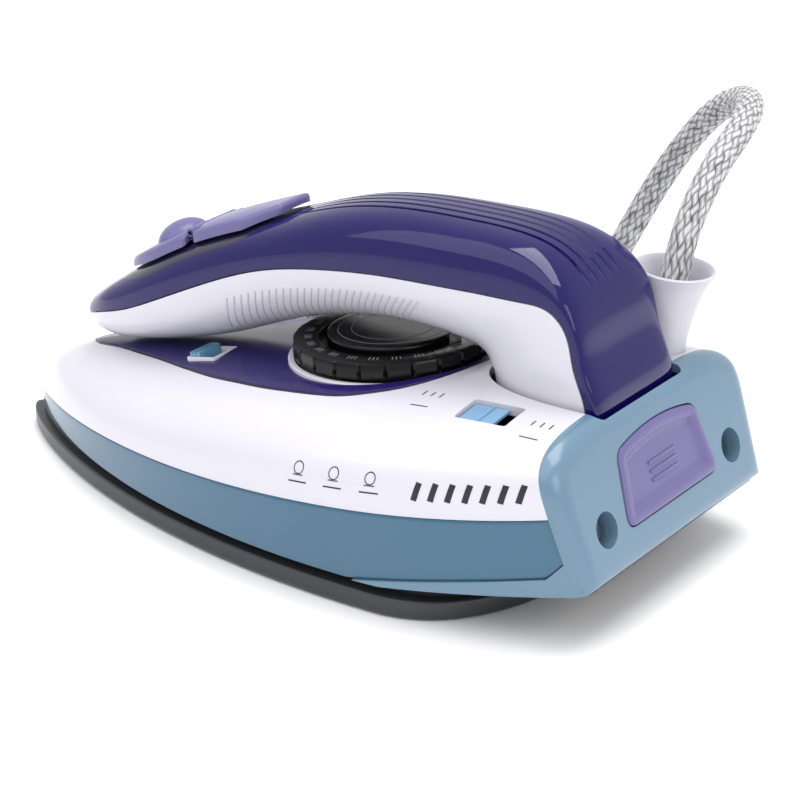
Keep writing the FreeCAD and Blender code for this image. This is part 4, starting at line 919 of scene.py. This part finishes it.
# ---- gland and collar ----
flare = smooth_rows([(4.6, -0.9), (4.7, 4.0), (5.2, 11.0), (6.5, 17.5), (8.3, 22.5), (9.3, 24.2)], 24, [0, 1])
mouth = smooth_rows([(8.35, 24.2), (6.9, 21.0), (4.6, 15.0), (3.4, 9.0)], 14, [0, 1])
gland_profile = [(3.4, -2.2), (6.4, -2.2), (6.4, -0.9)] + [tuple(p) for p in flare]
gland_profile += [(9.1, 24.5), (8.7, 24.5)] + [tuple(p) for p in mouth]
gland = lathe("gland_sleeve", gland_profile, GLAND_FRAME, 72, True)
dress(gland, SOFT_WHITE, "base", ["cord_gland"])

collar_profile = [(5.0, -9.4), (24.35, -9.4), (24.35, -4.6), (24.15, -4.4), (23.1, -4.4), (22.9, -4.6),
                  (22.9, -8.4), (5.0, -8.4)]
collar = lathe("dial_collar_ring", collar_profile, DIAL_FRAME, 128, True)
dress(collar, SOFT_WHITE, "base", ["dial_collar"])


# ---- handle ----
# One row per section from tip to foot: underside x, z; parting line x, z; top x, z; half width;
# upper and lower roundness.
HANDLE_SECTIONS = [
    (-70.6, 33.2, -70.8, 34.0, -70.9, 34.9, 1.3, 2.2, 2.2),
    (-68.9, 30.9, -69.3, 34.6, -69.4, 37.5, 4.6, 2.3, 2.2),
    (-64.8, 30.1, -65.3, 36.1, -65.4, 41.1, 8.3, 2.4, 2.2),
    (-59.3, 29.9, -59.8, 38.1, -60.0, 44.7, 11.0, 2.5, 2.2),
    (-52.3, 30.8, -53.0, 40.3, -53.2, 48.9, 12.8, 2.6, 2.3),
    (-39.7, 33.3, -41.0, 45.4, -41.4, 55.9, 14.4, 2.7, 2.3),
    (-23.0, 38.1, -25.4, 52.6, -26.4, 62.8, 15.1, 2.8, 2.3),
    (-7.0, 44.3, -9.3, 58.9, -10.4, 68.6, 15.4, 2.8, 2.3),
    (8.0, 48.6, 7.6, 62.5, 7.0, 74.4, 15.7, 2.8, 2.3),
    (21.0, 50.6, 24.0, 64.3, 24.6, 77.3, 15.9, 2.9, 2.3),
    (31.5, 50.7, 39.8, 64.9, 42.6, 77.7, 16.1, 3.1, 2.3),
    (36.6, 50.2, 51.6, 65.2, 55.6, 77.1, 16.2, 3.4, 2.3),
    (40.7, 49.5, 61.6, 65.3, 65.6, 74.3, 16.3, 4.0, 2.3),
    (43.7, 48.6, 68.6, 64.6, 72.2, 68.8, 16.4, 5.0, 2.3),
    (45.7, 47.3, 72.9, 60.4, 75.7, 62.2, 16.5, 6.0, 2.3),
    (46.9, 45.7, 74.9, 52.9, 77.9, 53.8, 16.6, 6.0, 2.3),
    (47.6, 43.7, 77.7, 44.9, 81.2, 45.0, 16.6, 6.0, 2.3),
    (47.9, 41.2, 78.2, 41.2, 81.3, 41.2, 16.6, 6.0, 2.3),
]
ROWS = smooth_rows(HANDLE_SECTIONS, 150, [2, 3, 4, 5])
SEAM_GAP = 0.32
FLAT_SHARE, FLAT_SPAN = 0.8, 0.6


def arch_share(p, n):
    """Sideways and upward share of a section's arch at p, from -1 on one side to 1 on the other."""
    if abs(p) <= FLAT_SPAN:
        side = abs(p) / FLAT_SPAN * FLAT_SHARE
        return math.copysign(side, p), (1 - side ** n) ** (1 / n)
    edge = math.acos(FLAT_SHARE ** (n / 2))
    a = edge * (1 - abs(p)) / (1 - FLAT_SPAN)
    return math.copysign(math.cos(a) ** (2 / n), p), math.sin(a) ** (2 / n)


def handle_spot(row, p, grow, lower, lift=0.0):
    """Point at p across a section's upper or lower half, moved outwards by grow."""
    bx, bz, px, pz, tx, tz, half, n_up, n_low = row
    end = (bx - px, bz - pz) if lower else (tx - px, tz - pz)
    length = math.hypot(*end)
    reach = (end[0] / length, end[1] / length)
    side, up = arch_share(p, n_low if lower else n_up)
    height = lift + max(0.3, length + grow - lift) * up
    return px + reach[0] * height, side * max(0.4, half + grow), pz + reach[1] * height


GROOVES = (-0.36, -0.18, 0.0, 0.18, 0.36)
GROOVE_HALF = 0.026
GROOVE_DEPTH = 0.45


def handle_shell(name, lower, lift):
    """Wall of one half of the handle, with the cover's grooves."""
    columns = set(np.round(np.linspace(-1, 1, 61), 5))
    if not lower:
        for g in GROOVES:
            columns |= {round(g / FLAT_SHARE * FLAT_SPAN + GROOVE_HALF * k, 5) for k in (-1, -0.6, 0, 0.6, 1)}
    columns = sorted(columns)

    def groove(x, z, p):
        if lower:
            return 0.0
        fade = min(1.0, max(0.0, (x + 6.0) / 5.0))
        fade *= min(1.0, max(0.0, (z - 68.0) / 5.0 + max(0.0, (50.0 - x) / 10.0)))
        near = [abs(p - g / FLAT_SHARE * FLAT_SPAN) / GROOVE_HALF for g in GROOVES]
        return -GROOVE_DEPTH * fade * max(0.0, min(1.0, 2.2 * (1 - min(near))))

    outer, inner = [], []
    for row in ROWS:
        outer.append([handle_spot(row, p, groove(row[4], row[5], p), lower, lift) for p in columns])
        inner.append([handle_spot(row, p, -1.8, lower, lift) for p in columns])
    return shell_object(name, outer, inner)


cover = handle_shell("handle_cover_skin", False, SEAM_GAP)
dress(cover, COVER, "handle", ["handle_cover"])
shell = handle_shell("handle_lower_skin", True, 0.0)
bosses = []
for side in (1, -1):
    sideways = frame_at(66.0, 0, 52.0, -90 * side, "X")
    bosses.append(lathe("boss", [(1.25, 13.05), (3.0, 13.05), (3.0, 15.6), (1.25, 15.6)], sideways, 32, True))
dress(join("handle_lower_body", [shell] + bosses), WHITE, "handle", ["handle_lower_shell"])


def row_at(column, x):
    """Section where the x in a column of ROWS has a value, along the part where it only grows."""
    line = ROWS[:110, column]
    i = min(108, max(0, int(np.searchsorted(line, x)) - 1))
    k = (x - line[i]) / (line[i + 1] - line[i])
    return ROWS[i] * (1 - k) + ROWS[i + 1] * k


def cover_point(x, y, level):
    """Point over (x, y) on the handle's cover, level above it."""
    _, _, px, pz, tx, tz, half, n, _ = row_at(4, x)
    length = math.hypot(tx - px, tz - pz)
    share = min(0.999, abs(y) / (half + level))
    height = (length + level) * (1 - share ** n) ** (1 / n)
    return px + (tx - px) / length * height, y, pz + (tz - pz) / length * height


def handle_side(u, v, level):
    """Point on the lower half of the handle at station u, v millimetres round from its underside."""
    return handle_spot(row_at(2, u), v / 16.0, level, True)


# Raised ridges on the handle's lower shell, coloured grey as painted shade of the ridges.
GRIP_X = np.arange(-24.0, 34.0, 2.1)
GRIPS = [(x, side * 6.5, x + 5.0, side * 13.5, 0.32) for side in (-1, 1) for x in GRIP_X]
mark("grip_ridges_painted_shade", GRIPS, handle_side, GRIP_RIDGE_SHADE, "handle", 0.12)


# ---- filler lid ----
LID_SEAM, LID_AXIS_Z = -33.4, 61.93
LID_NOSE = [(-56.0 + 16 - 16 * math.sin(a), 10.4 * math.cos(a)) for a in np.linspace(0, math.pi, 61)]


def run_points(corners, step=1.2):
    out = []
    for (xa, ya), (xb, yb) in zip(corners, corners[1:]):
        count = max(1, int(math.hypot(xb - xa, yb - ya) / step))
        out += [(xa + (xb - xa) * k / count, ya + (yb - ya) * k / count) for k in range(count)]
    return out


lid_loop = LID_NOSE + run_points([(-40.0, -10.4), (-34.4, -10.4), (-33.8, -9.8), (-33.8, 9.8), (-34.4, 10.4),
                                  (-40.0, 10.4)])[1:]
trim_loop = fine_loop([(-31.8, -10.4), (-16.5, -10.4), (-11.5, -7.6), (-8.5, -5.6), (-8.5, 5.6), (-11.5, 7.6),
                       (-16.5, 10.4), (-31.8, 10.4)], 2.0, 1.2)
seat_front = [(-40.0 + (x + 40.0) * 18.7 / 16.0, y * 13.0 / 10.4) for x, y in LID_NOSE]
seat_loop = seat_front + run_points([(-40.0, -13.0), (-17.5, -13.0), (-10.5, -9.0), (-6.6, -6.6), (-6.6, 6.6),
                                     (-10.5, 9.0), (-17.5, 13.0), (-40.0, 13.0)])[1:]

# Dark pad round the filler lid, wider than the lid: painted shade of the recess in the cover.
seat_shade_pad = pad("lid_seat_shade_pad", seat_loop, cover_point, -0.5, [(0.0, 0.05), (0.5, 0.1), (1.2, 0.16)], (-28.0, 0.0))
dress(seat_shade_pad, LID_SEAT_SHADE, "handle")
lid_profile = [(0.0, 1.9)] + soft_edge(3.1, 1.1)
flap = pad("flap", lid_loop, cover_point, 0.9, lid_profile, (-46.0, 0.0))


def thumb_bump():
    """Oval swelling for the thumb, trimmed to the lid's face."""
    turn = Matrix.Rotation(math.radians(-28), 3, "Y")
    size_x, size_y, size_z = 6.0, 7.4, 4.6
    top = cover_point(-42.0, 0.0, 0.0)[2] + 1.2
    rings = []
    for lat in np.linspace(-math.pi / 2 + 0.04, math.pi / 2 - 0.04, 26):
        ring = []
        for lon in np.linspace(0, 2 * math.pi, 48, endpoint=False):
            flat_x, flat_y = size_x * math.cos(lat) * math.cos(lon), size_y * math.cos(lat) * math.sin(lon)
            spot = turn @ Vector((flat_x, flat_y, size_z * math.sin(lat)))
            x, y, z = spot.x - 42.0, spot.y, spot.z + top
            ring.append((x, y, max(z, cover_point(x, y, 1.6)[2])))
        rings.append(ring)
    return ring_object("bump", rings, 60)


def across(radius, x, z, y0, y1):
    """Rod along Y with softened ends."""
    soft = 0.25
    profile = [(0.02, y0), (radius - soft, y0), (radius, y0 + soft)]
    profile += [(radius, y1 - soft), (radius - soft, y1), (0.02, y1)]
    return lathe("pin", profile, frame_at(x, 0, z, -90, "X"), 40)


knuckle = across(1.15, LID_SEAM, LID_AXIS_Z, -6.6, 6.6)
dress(join("filler_lid_body", [flap, thumb_bump(), knuckle]), LAVENDER, "lid", ["filler_lid"])
trim = pad("trim", trim_loop, cover_point, 0.9, lid_profile, (-16.0, 0.0))
ears = [across(1.15, LID_SEAM, LID_AXIS_Z, *span) for span in ((6.9, 8.6), (-8.6, -6.9))]
EAR_FRAME = frame_at(LID_SEAM, 0, LID_AXIS_Z, -24.7, "Y")
ears += [rounded_box("ear", (0, y, -1.0), (3.0, y + 1.7, 0.8), 0.2, EAR_FRAME) for y in (6.9, -8.6)]
dress(join("lid_trim_body", [trim] + ears), LAVENDER, "handle", ["lid_trim_plate"])


# ---- push button ----
dish = [(0.0, -0.1), (0.15, 0.3), (0.5, 0.55), (0.9, 0.6), (1.9, 0.6), (2.3, 0.5), (2.9, -0.1), (3.5, -0.45),
        (4.2, -0.5)]
button = pad("button", push_loop(0.0), heel_surface, -3.2, dish, (0.0, heel_v(29.5)))
GUIDE_FRAME = HEEL @ Matrix.Translation((0, heel_v(25), 0))
guide = lathe("guide", [(0.02, -7.6), (1.6, -7.6), (1.6, -3.0), (0.02, -3.0)], GUIDE_FRAME, 32)
HOOK_V = heel_v(31.5)
hook = rounded_box("hook", (-4, HOOK_V, -9.0), (4, HOOK_V + 3, -3.0), 0.3, HEEL)
latch = rounded_box("latch", (-2.5, HOOK_V, -15.5), (2.5, HOOK_V + 3, -9.0), 0.3, HEEL)
rib_rows = [heel_v(29.0) + 1.9 * k for k in (-1, 0, 1)]
ribs = [rounded_box("rib", (-5.5, v - 0.35, -0.9), (5.5, v + 0.35, -0.15), 0.15, HEEL) for v in rib_rows]
body = join("push_button_body", [button, guide, hook, latch] + ribs)
dress(body, LAVENDER, "push_button", ["push_button"])


# ---- CAD nodes that stay ----
# material, width of the softened edge, nodes
KEPT = [
    (ELEMENT, 0.0, "heating_element"),
    (GASKET, 0.0, "chamber_gasket"),
    (STEEL, 0.15, "steam_chamber_cover heel_screws frame_screws yoke_screws"),
    (BLACK, 0.2, "drip_valve_body voltage_switch"),
    (STEEL, 0.2, "thermostat pivot_pin"),
    (STEEL, 0.1, "thermal_fuse fuse_clip"),
    # The heat shield's near-black is partly its own colour and partly painted shade in the gap under the
    # skirt.
    (SHIELD_BLACK_AND_SHADE, 0.3, "heat_shield"),
    (SOFT_WHITE, 0.15, "slider_bezel"),
    (GREY, 0.25, "inner_frame"),
    (STEEL, 0.0, "button_spring lid_hinge_pin"),
    (CLEAR, 0.3, "terminal_block"),
    (LEAD, 0.0, "inner_lead"),
    (GREY, 0.3, "cord_clamp"),
    (CLEAR, 0.0, "water_hose tank_outlet"),
    (PEG, 0.0, "dial_peg"),
    (BRASS, 0.2, "thermostat_spindle"),
    (SLIDER_BLUE, 0.2, "steam_slider"),
    (CLEAR, 0.2, "tank_tray"),
    (GREY, 0.2, "hinge_yoke"),
    (BRASS, 0.1, "pivot_bushes"),
    (GASKET, 0.2, "lid_seal"),
    (SOFT_WHITE, 0.3, "plug_body"),
    (BRASS, 0.5, "plug_pins"),
    (BLACK, 0.3, "coil_tie"),
]


def soften(obj, width):
    """Weld the imported faces together and round the edges a little."""
    weld = obj.modifiers.new("weld", "WELD")
    weld.merge_threshold = 0.000002
    if width:
        bevel = obj.modifiers.new("bevel", "BEVEL")
        bevel.width = width * MM
        bevel.segments = 2
        bevel.limit_method = "ANGLE"
        bevel.angle_limit = math.radians(40)
    obj.data.polygons.foreach_set("use_smooth", [True] * len(obj.data.polygons))


for material, width, nodes in KEPT:
    for node in nodes.split():
        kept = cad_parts[node]
        kept.data.materials.clear()
        kept.data.materials.append(material)
        soften(kept, width)


# ---- cord ----
CORD_D = 6.4
# from the gland's mouth, over and down behind the body, to the floor
ROUTE = [(73.6, 25.4, 49), (75, 26.5, 66), (77, 37, 82), (77, 55, 90), (68, 73, 90), (53, 84, 82),
         (40, 86, 66), (30, 85, 48), (21, 82, 29), (7, 79, 13), (-10, 73.5, 4)]
COIL_CENTRE = (-43.0, 107.0)
LANES = {"O": 43.6, "M": 37.0, "I": 30.4}
LAYERS = (3.3, 9.9, 16.5)
TURNS = ["O1", "M1", "I1", "I2", "M2", "O2", "O3", "M3"]
COIL_START = -72.0
POINTS_PER_TURN = 15
CROSS_SPAN = 44 / 360
CROSS_STEP = 48 / 360


def coil_points():
    """Turns of the tied coil, lane by lane and layer by layer, then up and over to the plug."""
    out = []
    last = 6.69
    count = int(last * POINTS_PER_TURN)
    for i in range(count + 1):
        p = last * i / count
        radius, z = LANES[TURNS[0][0]], LAYERS[0]
        for k in range(7):
            begin = k + (6 - k) * CROSS_STEP
            share = min(1.0, max(0.0, (p - begin) / CROSS_SPAN))
            share = share * share * (3 - 2 * share)
            here, there = TURNS[k], TURNS[k + 1]
            radius += (LANES[there[0]] - LANES[here[0]]) * share
            z += (LAYERS[int(there[1]) - 1] - LAYERS[int(here[1]) - 1]) * share
        a = math.radians(COIL_START) - 2 * math.pi * p
        out.append((a, radius, z))
    for angle, radius, z in ((20, 37.0, 18.0), (0, 38.0, 20.6), (-20, 40.5, 24.0), (-38, 43.0, 26.6)):
        out.append((math.radians(angle), radius, z))
    x, y = COIL_CENTRE
    return [(x + radius * math.cos(a), y + radius * math.sin(a), z) for a, radius, z in out]


def make_cord():
    points = ROUTE + coil_points() + [(-8.0, 71.0, 27.8), (-17.0, 71.0, 27.8)]
    data = bpy.data.curves.new("mains_cord", "CURVE")
    data.dimensions = "3D"
    data.resolution_u = 8
    data.bevel_depth = CORD_D / 2 * MM
    data.bevel_resolution = 6
    data.use_fill_caps = True
    spline = data.splines.new("NURBS")
    spline.points.add(len(points) - 1)
    for control, spot in zip(spline.points, points):
        control.co = [c * MM for c in spot] + [1.0]
    spline.order_u = 3
    spline.use_endpoint_u = True
    cord = link_object("mains_cord", data)
    cord.data.materials.append(BRAID)
    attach(cord, "base")
    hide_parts("cord_tube", "cord_coil")
    return cord


make_cord()


# ---- floor and light ----
def make_floor():
    half, z = 1500, -0.3
    corners = [(-half, -half, z), (half, -half, z), (half, half, z), (-half, half, z)]
    floor = new_object("floor", corners, [(0, 1, 2, 3)])
    floor.data.materials.append(moulded("floor_pale", (0.93, 0.93, 0.94), 0.7, vary=0.005))


def area_light(name, place, target, size, power):
    data = bpy.data.lights.new(name, "AREA")
    data.shape = "RECTANGLE"
    data.size, data.size_y = size
    data.energy = power
    lamp = link_object(name, data)
    lamp.location = place
    lamp.rotation_euler = (Vector(target) - Vector(place)).to_track_quat("-Z", "Y").to_euler()


make_floor()
area_light("key", (-0.2, -0.62, 1.1), (0, 0, 0.03), (1.5, 1.2), 6.8)
area_light("fill", (0.95, -0.35, 0.55), (0.02, 0, 0.03), (0.6, 0.6), 2.6)
area_light("top", (0.1, 0.25, 1.1), (0, 0, 0.03), (0.9, 0.6), 8)
world = bpy.data.worlds.new("world")
world.use_nodes = True
world.node_tree.nodes["Background"].inputs["Color"].default_value = (1.0, 1.0, 1.0, 1)
world.node_tree.nodes["Background"].inputs["Strength"].default_value = 0.86
scene.world = world
scene.view_settings.view_transform = "Standard"
